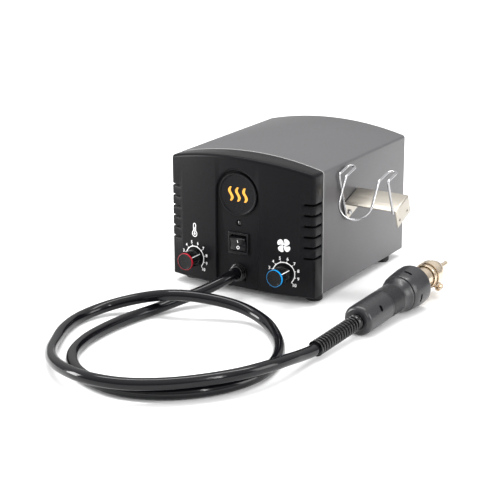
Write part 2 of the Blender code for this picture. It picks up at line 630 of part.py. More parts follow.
def build_handpiece(handpiece):
    """The boot, the three shell pieces, the heater, and the nozzle with its clamp."""
    bm = bmesh.new()
    pitch = BOOT_LENGTH / (BOOT_RIBS + 0.5)
    profile = [(0, -BOOT_LENGTH)]
    for i in range(BOOT_RIBS):
        y = -BOOT_LENGTH + i * pitch
        profile += [(BOOT_RADIUS, y), (BOOT_RADIUS, y + 0.65 * pitch), (BOOT_RADIUS - 1.1 * MM, y + 0.8 * pitch)]
    profile += [(BOOT_RADIUS, -pitch / 2), (BOOT_RADIUS, 2.5 * MM), (0, 2.5 * MM)]
    add_turned(bm, profile, 12)
    finish("strain_relief", bm, "black_rubber", handpiece)

    hole = BOOT_RADIUS + GAP
    bm = bmesh.new()
    profile = [(hole, 0), (9.5 * MM, 0), (11.6 * MM, 0.9 * MM), (12.9 * MM, 2.6 * MM), (BARREL_RADIUS, REAR_CONTACT),
               (BARREL_RADIUS, BARREL_END - GAP), (SHELL_BORE, BARREL_END - GAP),
               (SHELL_BORE, 3 * MM), (hole, 3 * MM)]
    add_turned(bm, profile, 28)
    barrel = finish("handpiece_barrel", bm, "grey_plastic", handpiece)
    bm = bmesh.new()
    for turn in (30, 210):
        place = Matrix.Rotation(math.radians(-turn), 4, "Y") @ Matrix.Translation((BARREL_RADIUS, 22.3 * MM, 0))
        add_box(bm, (-4 * MM, -1.2 * MM, -2.5 * MM), (4 * MM, 1.2 * MM, 2.5 * MM), place)
    shape(barrel, "cut_barrel_slots", bm)

    bm = bmesh.new()
    grip_radius = BARREL_RADIUS - 0.15 * MM
    profile = [(grip_radius, BARREL_END), (grip_radius, 58 * MM), (13.7 * MM, 62 * MM), (14.6 * MM, 66 * MM),
               (15.8 * MM, 69.5 * MM), (LIP_RADIUS, 71 * MM), (LIP_RADIUS, GRIP_END - GAP),
               (SHELL_BORE, GRIP_END - GAP), (SHELL_BORE, BARREL_END)]
    add_turned(bm, profile, 28)
    finish("handpiece_grip", bm, "grey_plastic", handpiece)

    bm = bmesh.new()
    profile = [(LIP_RADIUS, GRIP_END), (16.8 * MM, 73 * MM), (18 * MM, 84 * MM), (COLLAR_RADIUS, FRONT_CONTACT),
               (COLLAR_RADIUS, 96.5 * MM), (17.5 * MM, 98.6 * MM), (16.6 * MM, COLLAR_END),
               (SHELL_BORE, COLLAR_END), (SHELL_BORE, GRIP_END)]
    add_turned(bm, profile, 28)
    collar = finish("handpiece_collar", bm, "grey_plastic", handpiece)
    bm = bmesh.new()
    for turn in (-13, 77, 167, 257):
        place = Matrix.Rotation(math.radians(-turn), 4, "Y") @ Matrix.Translation((COLLAR_RADIUS, 82 * MM, 0))
        add_box(bm, (-9 * MM, -0.9 * MM, -4 * MM), (4 * MM, 0.9 * MM, 4 * MM), place)
    shape(collar, "cut_collar_slots", bm)

    bm = bmesh.new()
    wall = 0.7 * MM
    profile = [(HEATER_RADIUS, 60 * MM), (HEATER_RADIUS, HEATER_END), (HEATER_RADIUS - wall, HEATER_END),
               (HEATER_RADIUS - wall, 60 * MM)]
    add_turned(bm, profile, 24)
    finish("heater_tube", bm, "nickel", handpiece)
    bm = bmesh.new()
    profile = [(2 * MM, 62 * MM), (7 * MM, 62 * MM), (7 * MM, 118 * MM), (2 * MM, 118 * MM)]
    add_turned(bm, profile, 20)
    finish("heater_core", bm, "ceramic", handpiece)

    bm = bmesh.new()
    skirt_bore = HEATER_RADIUS + GAP
    profile = [(skirt_bore, SKIRT_START), (SKIRT_RADIUS, SKIRT_START), (SKIRT_RADIUS, SKIRT_END),
               (10.2 * MM, 137.5 * MM), (7.8 * MM, 141.5 * MM), (4.2 * MM, 143.8 * MM), (TIP_RADIUS, 145 * MM),
               (TIP_RADIUS, NOZZLE_END), (TIP_RADIUS - 0.7 * MM, NOZZLE_END), (TIP_RADIUS - 0.7 * MM, 144.3 * MM),
               (3.4 * MM, 142.8 * MM), (6.9 * MM, 140.6 * MM), (9.1 * MM, 137 * MM), (skirt_bore, SKIRT_END)]
    add_turned(bm, profile, 24)
    finish("nozzle", bm, "nickel", handpiece)

    ear_frame = Matrix.Rotation(-CLAMP_EAR_TURN, 4, "Y")
    band = SKIRT_RADIUS + GAP
    outside = band + 0.9 * MM
    ear_in, ear_out, ear_end = MM, 2 * MM, 17.5 * MM
    inner_turn = math.asin(ear_in / band)
    outer_turn = math.asin(ear_out / outside)
    outline = arc(band, inner_turn, 2 * math.pi - inner_turn, 24) + [(ear_end, -ear_in), (ear_end, -ear_out)]
    outline += arc(outside, 2 * math.pi - outer_turn, outer_turn, 24) + [(ear_end, ear_out), (ear_end, ear_in)]
    bm = bmesh.new()
    add_prism(bm, outline, CLAMP_PLACE - 3.5 * MM, CLAMP_PLACE + 3.5 * MM, ear_frame)
    clamp = finish("nozzle_clamp", bm, "nickel", handpiece)
    screw_spot = ear_frame @ Matrix.Translation((14.8 * MM, CLAMP_PLACE, 0))
    bm = bmesh.new()
    add_rod(bm, SCREW_RADIUS + GAP, -5 * MM, 5 * MM, 12, screw_spot @ UPRIGHT)
    shape(clamp, "cut_clamp_holes", bm)
    screw_axis = empty("clamp_screw_axis", handpiece, (0, 0, 0))
    screw_axis.matrix_local = screw_spot @ Matrix.Translation((0, 0, -ear_out - GAP)) @ UPRIGHT
    bm = bmesh.new()
    add_screw(bm, 6.5 * MM, Matrix(), 2.3 * MM)
    finish("clamp_screw", bm, "nickel", screw_axis)


def build_bracket(station):
    """The folded bracket on the box's right side, and its two screws."""
    width = BRACKET_WIDTH - GAP
    drop = -BRACKET_FLANGE
    fold = 1.5 * MM
    outer = arc(fold, math.pi, math.pi / 2, 3, (fold, -fold))
    outer += arc(fold, math.pi / 2, 0, 3, (width - fold, -fold))
    inside = fold - SHEET
    inner = arc(inside, 0, math.pi / 2, 3, (width - fold, -fold))
    inner += arc(inside, math.pi / 2, math.pi, 3, (fold, -fold))
    outline = [(0, drop)] + outer + [(width, drop), (width - SHEET, drop)] + inner + [(SHEET, drop)]
    bm = bmesh.new()
    add_prism(bm, outline, 0, BRACKET_LENGTH, bracket_frame())
    bracket = finish("holder_bracket", bm, "stainless", station)
    bm = bmesh.new()
    for along in BRACKET_HOLES:
        inner_hole = Matrix.Translation((0, along, -BRACKET_HOLE_DROP)) @ SIDEWAYS
        add_rod(bm, SCREW_RADIUS + GAP, -3 * MM, 3 * MM, 12, bracket_frame() @ inner_hole)
        outer_hole = Matrix.Translation((width, along, -BRACKET_HOLE_DROP)) @ SIDEWAYS
        add_rod(bm, 1.3 * MM, -3 * MM, 3 * MM, 12, bracket_frame() @ outer_hole)
    shape(bracket, "cut_bracket_holes", bm)
    for row, along in zip(("front", "rear"), BRACKET_HOLES):
        bm = bmesh.new()
        add_screw(bm, 6 * MM, bracket_screw_place(along), 2.4 * MM)
        finish(f"bracket_screw_{row}", bm, "zinc_steel", station)


def rounded(points, radius, steps=3):
    """Replaces each inner corner of a polyline by a short curve."""
    made = [points[0]]
    for before, corner, after in zip(points, points[1:], points[2:]):
        start = corner + (before - corner).normalized() * radius
        end = corner + (after - corner).normalized() * radius
        for i in range(steps + 1):
            t = i / steps
            made.append(start * (1 - t) ** 2 + corner * (2 * t * (1 - t)) + end * t ** 2)
    made.append(points[-1])
    return made


def build_wire(station):
    """One wire: up a post, back round a hook, down into the saddle, and the same in mirror image."""
    stand = WIRE_RADIUS + GAP
    frame = bracket_frame()
    low = frame @ Vector((0, -stand, -BRACKET_FLANGE + 1.5 * MM))
    corner = frame @ Vector((0, -stand, 32.5 * MM))
    short = frame @ Vector((0, -stand, -2 * MM))
    hook_way = Vector((0, math.cos(HOOK_RISE), math.sin(HOOK_RISE)))
    saddle_way = Vector((0, -math.sin(SADDLE_LEAN), -math.cos(SADDLE_LEAN)))
    hook_radius = (POST_OFFSET - SADDLE_RADIUS) / 2
    saddle_top = corner + hook_way * (-2 * MM)
    half = [low, corner, corner + hook_way * HOOK_LENGTH]
    half = [Vector((-POST_OFFSET, p.y, p.z)) for p in half]
    middle_x = -POST_OFFSET + hook_radius
    for x, along in arc(hook_radius, math.pi, 0, 6, (middle_x, 0))[1:]:
        point = corner + hook_way * (HOOK_LENGTH + along)
        half.append(Vector((x, point.y, point.z)))
    half.append(Vector((-SADDLE_RADIUS, saddle_top.y, saddle_top.z)))
    straight = saddle_top + saddle_way * SADDLE_STRAIGHT
    half.append(Vector((-SADDLE_RADIUS, straight.y, straight.z)))
    bends = rounded(half[:3], 3 * MM)
    down = rounded(half[-3:], 3 * MM)
    left = bends[:-1] + half[2:-3] + down
    bottom = []
    for x, sink in arc(SADDLE_RADIUS, math.pi, 2 * math.pi, 12)[1:-1]:
        point = straight + saddle_way * -sink
        bottom.append(Vector((x, point.y, point.z)))
    right = [Vector((-p.x, p.y, p.z)) for p in left[::-1]]
    right[-1] = Vector((POST_OFFSET, short.y, short.z))
    wire = [point + Vector((CRADLE_X, 0, 0)) for point in left + bottom + right]
    tube("wire_cradle", wire, WIRE_RADIUS, "chrome", station)


def build_rear(station):
    """The rear panel with its screws, mains inlet, fuse drawer and earth terminal."""
    outside_y = REAR_Y + SHEET
    tops = hood_columns(HALF_WIDTH - SHEET - GAP, ARCH_RADIUS - SHEET - GAP, COVER_CORNER - SHEET)
    low_z = SHEET + GAP
    outline = tops + [(HALF_WIDTH - SHEET - GAP, low_z), (-HALF_WIDTH + SHEET + GAP, low_z)]
    bm = bmesh.new()
    add_prism(bm, outline, REAR_Y, outside_y)
    panel = finish("rear_panel", bm, "grey_paint", station)
    bm = bmesh.new()
    opening = (INLET_BODY[0] + 2 * GAP, INLET_BODY[1] + 2 * GAP)
    add_prism(bm, rectangle(opening, INLET), REAR_Y - MM, outside_y + MM)
    add_rod(bm, 2.3 * MM, REAR_Y - MM, outside_y + MM, 16, Matrix.Translation((EARTH[0], 0, EARTH[1])))
    for x in (-PEG[0], PEG[0]):
        add_rod(bm, SCREW_RADIUS + GAP, REAR_Y - MM, outside_y + MM, 12, Matrix.Translation((x, 0, PEG[1])))
    for i in range(7):
        vent = rectangle((34 * MM, 2.6 * MM), (32 * MM, (50 + 6.5 * i) * MM))
        add_prism(bm, vent, REAR_Y - MM, outside_y + MM)
    shape(panel, "cut_panel_openings", bm)
    for side, x in (("left", -PEG[0]), ("right", PEG[0])):
        into_box = Matrix.Translation((x, outside_y + GAP, PEG[1])) @ Matrix.Rotation(math.pi, 4, "Z")
        bm = bmesh.new()
        add_screw(bm, 8 * MM, into_box)
        finish(f"panel_screw_{side}", bm, "zinc_steel", station)

    flange_y = outside_y + GAP
    back_y = flange_y + 2 * MM
    levels = [(INLET_BODY, 136 * MM), (INLET_BODY, flange_y), (INLET_FLANGE, flange_y), (INLET_FLANGE, back_y)]
    bm = bmesh.new()
    add_loft(bm, [[(x, y, z) for x, z in rectangle(size, INLET)] for size, y in levels])
    inlet = finish("mains_inlet", bm, "black_plastic", station)
    socket = (INLET[0], INLET[1] - SOCKET_DROP)
    drawer_centre = (INLET[0], INLET[1] + DRAWER_RISE)
    drawer_size = (19 * MM, 7.6 * MM)
    bm = bmesh.new()
    add_prism(bm, rectangle((24 * MM, 16 * MM), socket), 146 * MM, 170 * MM)
    slot = (drawer_size[0] + 2 * GAP, drawer_size[1] + 2 * GAP)
    add_prism(bm, rectangle(slot, drawer_centre), 138.4 * MM, 170 * MM)
    shape(inlet, "cut_inlet_openings", bm)
    for kind, x, z in (("live", -7, -2), ("earth", 0, 2), ("neutral", 7, -2)):
        blade = rectangle((2 * MM, 4 * MM), (socket[0] + x * MM, socket[1] + z * MM))
        bm = bmesh.new()
        add_prism(bm, blade, 146.3 * MM, flange_y)
        finish(f"inlet_pin_{kind}", bm, "zinc_steel", station)
    bm = bmesh.new()
    add_prism(bm, rectangle(drawer_size, drawer_centre), 138.7 * MM, back_y)
    grip = rectangle((8 * MM, 2 * MM), drawer_centre)
    drawer = finish("fuse_drawer", bm, "black_plastic", station)
    bm = bmesh.new()
    add_prism(bm, grip, back_y - MM, back_y + MM)
    trough = (5.6 * MM, 9 * MM)
    add_prism(bm, rectangle(trough, (INLET[0], INLET[1] + DRAWER_RISE + 2.4 * MM)), 139.7 * MM, 160.4 * MM)
    shape(drawer, "cut_drawer", bm)
    bm = bmesh.new()
    add_rod(bm, 2.5 * MM, 140 * MM, 160 * MM, 16, Matrix.Translation((INLET[0], 0, drawer_centre[1] + 1.0 * MM)))
    finish("fuse", bm, "ceramic", station)
    bm = bmesh.new()
    profile = [(0, 150 * MM), (2 * MM, 150 * MM), (2 * MM, flange_y), (4.5 * MM, flange_y),
               (4.5 * MM, back_y - 0.5 * MM), (4 * MM, back_y), (0, back_y)]
    add_turned(bm, profile, 20, Matrix.Translation((EARTH[0], 0, EARTH[1])))
    finish("earth_terminal", bm, "brass", station)


def build_electronics(station):
    """The control board on its carrier, with the parts that stand on it."""
    pan_top = 2 * SHEET + 2 * GAP
    board_z = 16 * MM
    bm = bmesh.new()
    add_box(bm, (-66 * MM, 22 * MM, pan_top), (-16 * MM, 108 * MM, board_z - GAP))
    carrier = finish("board_carrier", bm, "black_plastic", station)
    bm = bmesh.new()
    add_box(bm, (-60 * MM, 20 * MM, pan_top + 2 * MM), (-22 * MM, 110 * MM, board_z + MM))
    shape(carrier, "cut_carrier", bm)
    bm = bmesh.new()
    add_box(bm, (-68 * MM, 20 * MM, board_z), (-14 * MM, 110 * MM, board_z + 1.6 * MM))
    finish("control_board", bm, "board_green", station)
    seat = board_z + 1.6 * MM + GAP
    bm = bmesh.new()
    outline = [(-60, 0)]
    for i in range(6):
        x = -60 + 5.6 * i
        outline += [(x, 26), (x + 2, 26), (x + 2, 4), (x + 5.6, 4)]
    outline = outline[:-2] + [(-30, 0)]
    add_prism(bm, [(x * MM, seat + z * MM) for x, z in outline], 72 * MM, 100 * MM)
    finish("triac_heatsink", bm, "aluminium", station)
    bm = bmesh.new()
    add_rod(bm, 6 * MM, seat, seat + 20 * MM, 16, Matrix.Translation((-23 * MM, 42 * MM, 0)) @ UPRIGHT)
    finish("capacitor", bm, "black_plastic", station)
    bm = bmesh.new()
    levels = ((0, 3), (4, 3), (4, 0), (18, 0), (18, 3), (24, 3))
    corners = [(-62, 26), (-32, 26), (-32, 58), (-62, 58)]
    rings = []
    for height, inset in levels:
        ring = [(x + inset * (1 if x == -62 else -1), y + inset * (1 if y == 26 else -1)) for x, y in corners]
        rings.append([(x * MM, y * MM, seat + height * MM) for x, y in ring])
    add_loft(bm, rings)
    finish("board_transformer", bm, "laminated_iron", station)


def build_pump(station):
    """The diaphragm pump: an electromagnet shakes the armature, which drives the diaphragm."""
    pan_top = 2 * SHEET + 2 * GAP
    floor = pan_top / MM
    section = [(8, floor), (16, floor), (16, 12.3), (58, 12.3), (58, floor), (66, floor), (66, 18.7),
               (51.5, 18.7), (51.5, 15.3), (24, 15.3), (24, 18.7), (8, 18.7)]
    bm = bmesh.new()
    add_prism(bm, [(x * MM, z * MM) for x, z in section], 30 * MM, 112 * MM)
    finish("pump_base", bm, "aluminium", station)
    bm = bmesh.new()
    core = [(14, 19), (60, 19), (60, 58), (46, 58), (46, 47), (51, 47), (51, 29), (26, 29),
            (26, 47), (37, 47), (37, 58), (14, 58)]
    add_prism(bm, [(x * MM, z * MM) for x, z in core], 44 * MM, 62 * MM)
    finish("pump_core", bm, "laminated_iron", station)
    bm = bmesh.new()
    add_box(bm, (27 * MM, 38 * MM, 15.7 * MM), (50 * MM, 68 * MM, 33 * MM))
    winding = finish("pump_winding", bm, "copper", station)
    bm = bmesh.new()
    add_box(bm, (20 * MM, 43.5 * MM, 18.5 * MM), (60 * MM, 62.5 * MM, 29.5 * MM))
    shape(winding, "cut_winding", bm)
    head_centre = Matrix.Translation((0, 93 * MM, 40 * MM)) @ SIDEWAYS
    bm = bmesh.new()
    add_box(bm, (40 * MM, 47 * MM, 36 * MM), (43 * MM, 100 * MM, 58 * MM))
    armature = finish("pump_armature", bm, "zinc_steel", station)
    bm = bmesh.new()
    add_rod(bm, 2 * MM, 42 * MM, 58.4 * MM, 12, head_centre)
    shape(armature, "join_armature_rod", bm, "UNION")
    bm = bmesh.new()
    profile = [(0, 58.7 * MM), (6 * MM, 58.7 * MM), (9 * MM, 59.3 * MM), (9 * MM, 60.3 * MM), (0, 60.3 * MM)]
    add_turned(bm, profile, 20, head_centre)
    finish("pump_diaphragm", bm, "black_rubber", station)
    bm = bmesh.new()
    add_box(bm, (56 * MM, 78 * MM, 19 * MM), (70 * MM, 108 * MM, 56 * MM))
    head = finish("pump_head", bm, "aluminium", station)
    bm = bmesh.new()
    add_rod(bm, 11.5 * MM, 50 * MM, 64 * MM, 24, head_centre)
    shape(head, "cut_head_chamber", bm)
    route = [(65.5, 77.6, 30), (65.5, 66, 30), (65.5, 48, 28), (63, 30, 25), (54, 16, 23), (38, 9, 21),
             (20, 7, 20), (7, 4, 19), (1.5, -4, 16.5), (0, -10, 14.7), (0, -14.6, 14.5)]
    path = [Vector(point) * MM for point in route]
    tube("air_tube", smooth_path(path, 7 * MM), 3.5 * MM, "silicone", station)


def main():
    """Clears the scene and builds every piece."""
    for old in list(bpy.data.objects):
        bpy.data.objects.remove(old, do_unlink=True)
    station = empty("station", None, (-FOOTPRINT_MIDDLE[0], -FOOTPRINT_MIDDLE[1], FOOT_HEIGHT))
    build_cover(station)
    build_base_pan(station)
    build_rear(station)
    build_bezel(station)
    build_feet(station)
    build_rocker(station)
    build_dial(station, "temperature", -DIAL_X, "red_plastic")
    build_dial(station, "airflow", DIAL_X, "blue_plastic")
    build_bracket(station)
    build_wire(station)
    place = handpiece_matrix()
    handpiece = empty("handpiece", station, (0, 0, 0))
    handpiece.matrix_local = place
    build_handpiece(handpiece)
    build_hose(station, place)
    build_electronics(station)
    build_pump(station)
    bpy.context.view_layer.update()


main()
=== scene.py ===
import json
import math

import bmesh
import bpy
from mathutils import Matrix, Vector
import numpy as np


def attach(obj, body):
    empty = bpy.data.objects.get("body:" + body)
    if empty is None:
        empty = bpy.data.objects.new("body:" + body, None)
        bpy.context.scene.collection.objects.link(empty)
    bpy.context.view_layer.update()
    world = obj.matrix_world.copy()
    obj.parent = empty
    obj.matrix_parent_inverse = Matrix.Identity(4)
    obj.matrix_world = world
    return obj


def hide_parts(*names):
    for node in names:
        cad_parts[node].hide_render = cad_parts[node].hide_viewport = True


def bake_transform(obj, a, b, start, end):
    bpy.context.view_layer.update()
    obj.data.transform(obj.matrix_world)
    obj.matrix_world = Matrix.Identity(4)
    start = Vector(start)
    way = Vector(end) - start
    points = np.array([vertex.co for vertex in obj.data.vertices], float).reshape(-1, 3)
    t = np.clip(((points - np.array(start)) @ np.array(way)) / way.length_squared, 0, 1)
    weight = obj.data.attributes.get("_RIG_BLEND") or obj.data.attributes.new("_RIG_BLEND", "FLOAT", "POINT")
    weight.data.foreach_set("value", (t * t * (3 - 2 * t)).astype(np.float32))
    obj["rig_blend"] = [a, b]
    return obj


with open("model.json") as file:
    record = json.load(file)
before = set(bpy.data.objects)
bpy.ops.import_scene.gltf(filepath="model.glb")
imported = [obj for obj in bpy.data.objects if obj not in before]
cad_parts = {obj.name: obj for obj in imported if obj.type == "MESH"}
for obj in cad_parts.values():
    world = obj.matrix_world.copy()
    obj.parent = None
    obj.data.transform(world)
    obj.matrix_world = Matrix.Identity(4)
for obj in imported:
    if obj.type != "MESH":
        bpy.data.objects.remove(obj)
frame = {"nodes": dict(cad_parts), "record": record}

# Every shape is made in millimetres in the box's own frame: X to the right with 0 in the middle of
# the box, Y to the back with 0 at the bezel's seam, Z up with 0 under the cover.
MM = 0.001
TO_ROW = Matrix.Scale(MM, 4) @ Matrix.Translation((-45.22, -49.52, 7))
UPRIGHT = Matrix.Rotation(math.pi / 2, 4, "X")
SIDEWAYS = Matrix.Rotation(-math.pi / 2, 4, "Z")
GAP = 0.3
GROUND = -7.0
FLOOR_REACH = 30000

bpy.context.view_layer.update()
slots_of = {row["node"]: row["material_slot"] for row in frame["record"]["subparts"]}


def row_point(x, y, z):
    """A point of the box's frame, in the row's metres."""
    return TO_ROW @ Vector((x, y, z))


# ---------------------------------------------------------------- camera and light

CAMERA_AZIMUTH = math.radians(31.467)
CAMERA_ELEVATION = math.radians(17.416)
CAMERA_ROLL = math.radians(-0.18)
CAMERA_PLACE = (708.4, -1159.1, 455.9)
CAMERA_LENS, CAMERA_SENSOR = 112.2, 36.0
SKY_AT_HORIZON, SKY_OVERHEAD = 0.3, 1.52


def build_camera():
    a, e, r = CAMERA_AZIMUTH, CAMERA_ELEVATION, CAMERA_ROLL
    back = Vector((math.sin(a) * math.cos(e), -math.cos(a) * math.cos(e), math.sin(e)))
    level = Vector((math.cos(a), math.sin(a), 0))
    above = back.cross(level)
    right = level * math.cos(r) + above * math.sin(r)
    up = above * math.cos(r) - level * math.sin(r)
    data = bpy.data.cameras.new("camera")
    data.lens, data.sensor_width = CAMERA_LENS, CAMERA_SENSOR
    data.clip_start, data.clip_end = 0.05, 100
    camera = bpy.data.objects.new("camera", data)
    bpy.context.scene.collection.objects.link(camera)
    turn = Matrix((right, up, back)).transposed().to_4x4()
    camera.matrix_world = Matrix.Translation(row_point(*CAMERA_PLACE)) @ turn
    bpy.context.scene.camera = camera


def softbox(name, place, target, size, power, along=(0, 0, 1)):
    """A rectangular light that faces the target, its height (or its length) lying along a direction."""
    data = bpy.data.lights.new(name, "AREA")
    data.shape = "RECTANGLE"
    data.size, data.size_y = size
    data.energy = power
    light = bpy.data.objects.new(name, data)
    bpy.context.scene.collection.objects.link(light)
    back = (Vector(place) - Vector(target)).normalized()
    side = Vector(along).cross(back).normalized()
    turn = Matrix((side, back.cross(side), back)).transposed().to_4x4()
    light.matrix_world = Matrix.Translation(place) @ turn


def build_studio():
    """A sky that is bright overhead and dim at the horizon, and soft lights around the object."""
    world = bpy.data.worlds.new("studio")
    bpy.context.scene.world = world
    world.use_nodes = True
    nodes, links = world.node_tree.nodes, world.node_tree.links
    where = nodes.new("ShaderNodeTexCoord")
    split = nodes.new("ShaderNodeSeparateXYZ")
    links.new(where.outputs["Generated"], split.inputs["Vector"])
    height = nodes.new("ShaderNodeMapRange")
    height.inputs["From Min"].default_value = 0.0
    height.inputs["From Max"].default_value = 1.0
    height.inputs["To Min"].default_value = SKY_AT_HORIZON
    height.inputs["To Max"].default_value = SKY_OVERHEAD
    links.new(split.outputs["Z"], height.inputs["Value"])
    background = nodes["Background"]
    background.inputs["Color"].default_value = (1, 1, 1, 1)
    links.new(height.outputs["Result"], background.inputs["Strength"])
    bpy.context.scene.view_settings.view_transform = "Standard"
    level = (math.cos(CAMERA_AZIMUTH), math.sin(CAMERA_AZIMUTH), 0)
    softbox("overhead", (-0.1, 0.1, 1.3), (0, -0.06, 0.05), (0.22, 1.5), 15, level)
    softbox("left", (-1.15, -0.75, 0.34), (0, 0, 0.05), (0.45, 0.6), 16)
    softbox("right", (1.35, 0.35, 0.45), (0.05, 0.02, 0.05), (0.6, 0.8), 9)
    softbox("edge", (0.75, -0.55, 0.5), (0.03, -0.05, 0.08), (0.06, 0.5), 2)


# ---------------------------------------------------------------- materials


def surface(name, colour, roughness, metallic=0.0, tint=0.06, blotch=18, grain=900, bump=0.12,
            depth=0.00004, stretch=(1, 1, 1), spread=0.06, coat=0.0, shine=0.5):
    """A material whose colour, roughness and relief vary over the surface."""
    made = bpy.data.materials.new(name)
    made.use_nodes = True
    nodes, links = made.node_tree.nodes, made.node_tree.links
    shader = nodes["Principled BSDF"]
    shader.inputs["Metallic"].default_value = metallic
    shader.inputs["Specular IOR Level"].default_value = shine
    shader.inputs["Coat Weight"].default_value = coat
    shader.inputs["Coat Roughness"].default_value = 0.12
    where = nodes.new("ShaderNodeTexCoord")
    mapping = nodes.new("ShaderNodeMapping")
    mapping.inputs["Scale"].default_value = stretch
    links.new(where.outputs["Object"], mapping.inputs["Vector"])

    def noise(scale, detail):
        node = nodes.new("ShaderNodeTexNoise")
        node.inputs["Scale"].default_value = scale
        node.inputs["Detail"].default_value = detail
        links.new(mapping.outputs["Vector"], node.inputs["Vector"])
        return node

    broad, fine = noise(blotch, 3), noise(grain, 2)
    mix = nodes.new("ShaderNodeMix")
    mix.data_type = "RGBA"
    mix.inputs["A"].default_value = (*[c * (1 - tint) for c in colour], 1)
    mix.inputs["B"].default_value = (*[min(c * (1 + tint), 1) for c in colour], 1)
    links.new(broad.outputs["Fac"], mix.inputs["Factor"])
    links.new(mix.outputs["Result"], shader.inputs["Base Color"])
    spreader = nodes.new("ShaderNodeMapRange")
    spreader.inputs["From Min"].default_value = 0.3
    spreader.inputs["From Max"].default_value = 0.7
    spreader.inputs["To Min"].default_value = roughness - spread
    spreader.inputs["To Max"].default_value = roughness + spread
    links.new(fine.outputs["Fac"], spreader.inputs["Value"])
    links.new(spreader.outputs["Result"], shader.inputs["Roughness"])
    relief = nodes.new("ShaderNodeBump")
    relief.inputs["Strength"].default_value = bump
    relief.inputs["Distance"].default_value = depth
    links.new(fine.outputs["Fac"], relief.inputs["Height"])
    links.new(relief.outputs["Normal"], shader.inputs["Normal"])
    return made


PAINT = surface("satin_paint", (0.072, 0.07, 0.0735), 0.4, tint=0.06, grain=1500, bump=0.25, shine=0.55)
MOULDED = surface("moulded_black", (0.006, 0.0058, 0.0068), 0.32, tint=0.1, grain=1500, bump=0.35,
                  shine=0.085)
BADGE = surface("badge_black", (0.006, 0.006, 0.007), 0.3, tint=0.06, grain=900, bump=0.1, shine=0.1)
SWITCH = surface("switch_black", (0.006, 0.006, 0.007), 0.2, tint=0.06, grain=1000, bump=0.15,
                 shine=0.2)
KNOB = surface("knob_black", (0.006, 0.006, 0.0065), 0.26, tint=0.08, grain=1200, bump=0.2, shine=0.2)
GREY = surface("handpiece_grey", (0.011, 0.011, 0.013), 0.32, tint=0.06, grain=1300, bump=0.3,
               shine=0.5)
HOSE = surface("hose_rubber_black", (0.0035, 0.0035, 0.0048), 0.13, tint=0.1, blotch=30, grain=500,
               bump=0.08, spread=0.03, shine=0.28)
RUBBER = surface("moulded_rubber", (0.002, 0.002, 0.0025), 0.1, tint=0.1, grain=800, bump=0.05,
                 shine=0.5)
FOOT = surface("foot_rubber", (0.01, 0.01, 0.01), 0.6, tint=0.1, grain=900, bump=0.3, shine=0.3)
RED = surface("ring_red", (0.5, 0.01, 0.028), 0.25, tint=0.05, grain=700, bump=0.05)
BLUE = surface("ring_blue", (0.0, 0.3, 0.72), 0.25, tint=0.05, grain=700, bump=0.05)
WHITE = surface("print_white", (0.93, 0.93, 0.93), 0.5, tint=0.03, grain=900, bump=0.1)
ORANGE = surface("print_orange", (0.92, 0.4, 0.03), 0.42, tint=0.04, grain=900, bump=0.1)
LENS = surface("lamp_lens", (0.012, 0.01, 0.01), 0.08, tint=0.1, grain=600, bump=0.02, coat=0.5)
NICKEL = surface("warm_nickel", (0.7, 0.59, 0.46), 0.25, 1.0, tint=0.07, blotch=120, grain=900,
                 bump=0.15)
STAINLESS = surface("brushed_stainless", (0.44, 0.41, 0.36), 0.34, 1.0, tint=0.05, blotch=60,
                    grain=500, bump=0.15, stretch=(0.12, 1, 1))
CHROME = surface("polished_wire", (0.42, 0.42, 0.43), 0.06, 1.0, tint=0.04, grain=500, bump=0.02,
                 spread=0.03)
# A lighter grey for the cover's rounded front edge: a painted highlight that stands in for the light line
# along the seam.
PAINTED_HIGHLIGHT_HEM = surface("painted_highlight_hem", (0.3, 0.3, 0.3), 0.22, tint=0.05, grain=900, bump=0.1)
ZINC = surface("zinc_plate", (0.6, 0.6, 0.62), 0.34, 1.0, tint=0.08, blotch=150, grain=900)
BRASS = surface("turned_brass", (0.72, 0.52, 0.22), 0.3, 1.0, tint=0.06, blotch=80, grain=700)
ALLOY = surface("plain_alloy", (0.62, 0.62, 0.64), 0.42, 1.0, tint=0.06, blotch=80, grain=700)
IRON = surface("varnished_iron", (0.2, 0.2, 0.21), 0.5, 1.0, tint=0.12, blotch=90, grain=700,
               stretch=(1, 6, 1))
COPPER = surface("enamelled_copper", (0.6, 0.22, 0.07), 0.35, 1.0, tint=0.12, grain=300, bump=0.6,
                 stretch=(0.1, 1, 1))
BOARD = surface("solder_mask", (0.02, 0.17, 0.07), 0.42, tint=0.2, blotch=160, grain=500)
CERAMIC = surface("unglazed_ceramic", (0.76, 0.73, 0.67), 0.75, tint=0.06, grain=500, bump=0.4)
SILICONE = surface("clear_silicone", (0.6, 0.6, 0.56), 0.4, tint=0.06, grain=500)
FLOOR = surface("pale_floor", (0.93, 0.93, 0.93), 0.8, tint=0.006, blotch=3, grain=40, bump=0.0,
                shine=0.2)

BY_SLOT = {
    "grey_paint": PAINT, "black_plastic": MOULDED, "black_rubber": RUBBER, "hose_rubber": HOSE,
    "grey_plastic": GREY, "red_plastic": RED, "blue_plastic": BLUE, "smoked_lens": LENS,
    "nickel": NICKEL, "stainless": STAINLESS, "chrome": CHROME, "zinc_steel": ZINC,
    "brass": BRASS, "ceramic": CERAMIC, "board_green": BOARD, "copper": COPPER,
    "aluminium": ALLOY, "laminated_iron": IRON, "silicone": SILICONE,
}


# ---------------------------------------------------------------- mesh helpers


def add_loft(bm, rings, place=Matrix(), caps=True):
    levels = [[bm.verts.new(place @ Vector(point)) for point in ring] for ring in rings]
    count = len(rings[0])
    for lower, upper in zip(levels, levels[1:]):
        for i in range(count):
            j = (i + 1) % count
            bm.faces.new((lower[i], lower[j], upper[j], upper[i]))
    if caps:
        bm.faces.new(levels[0])
        bm.faces.new(levels[-1])
    return levels


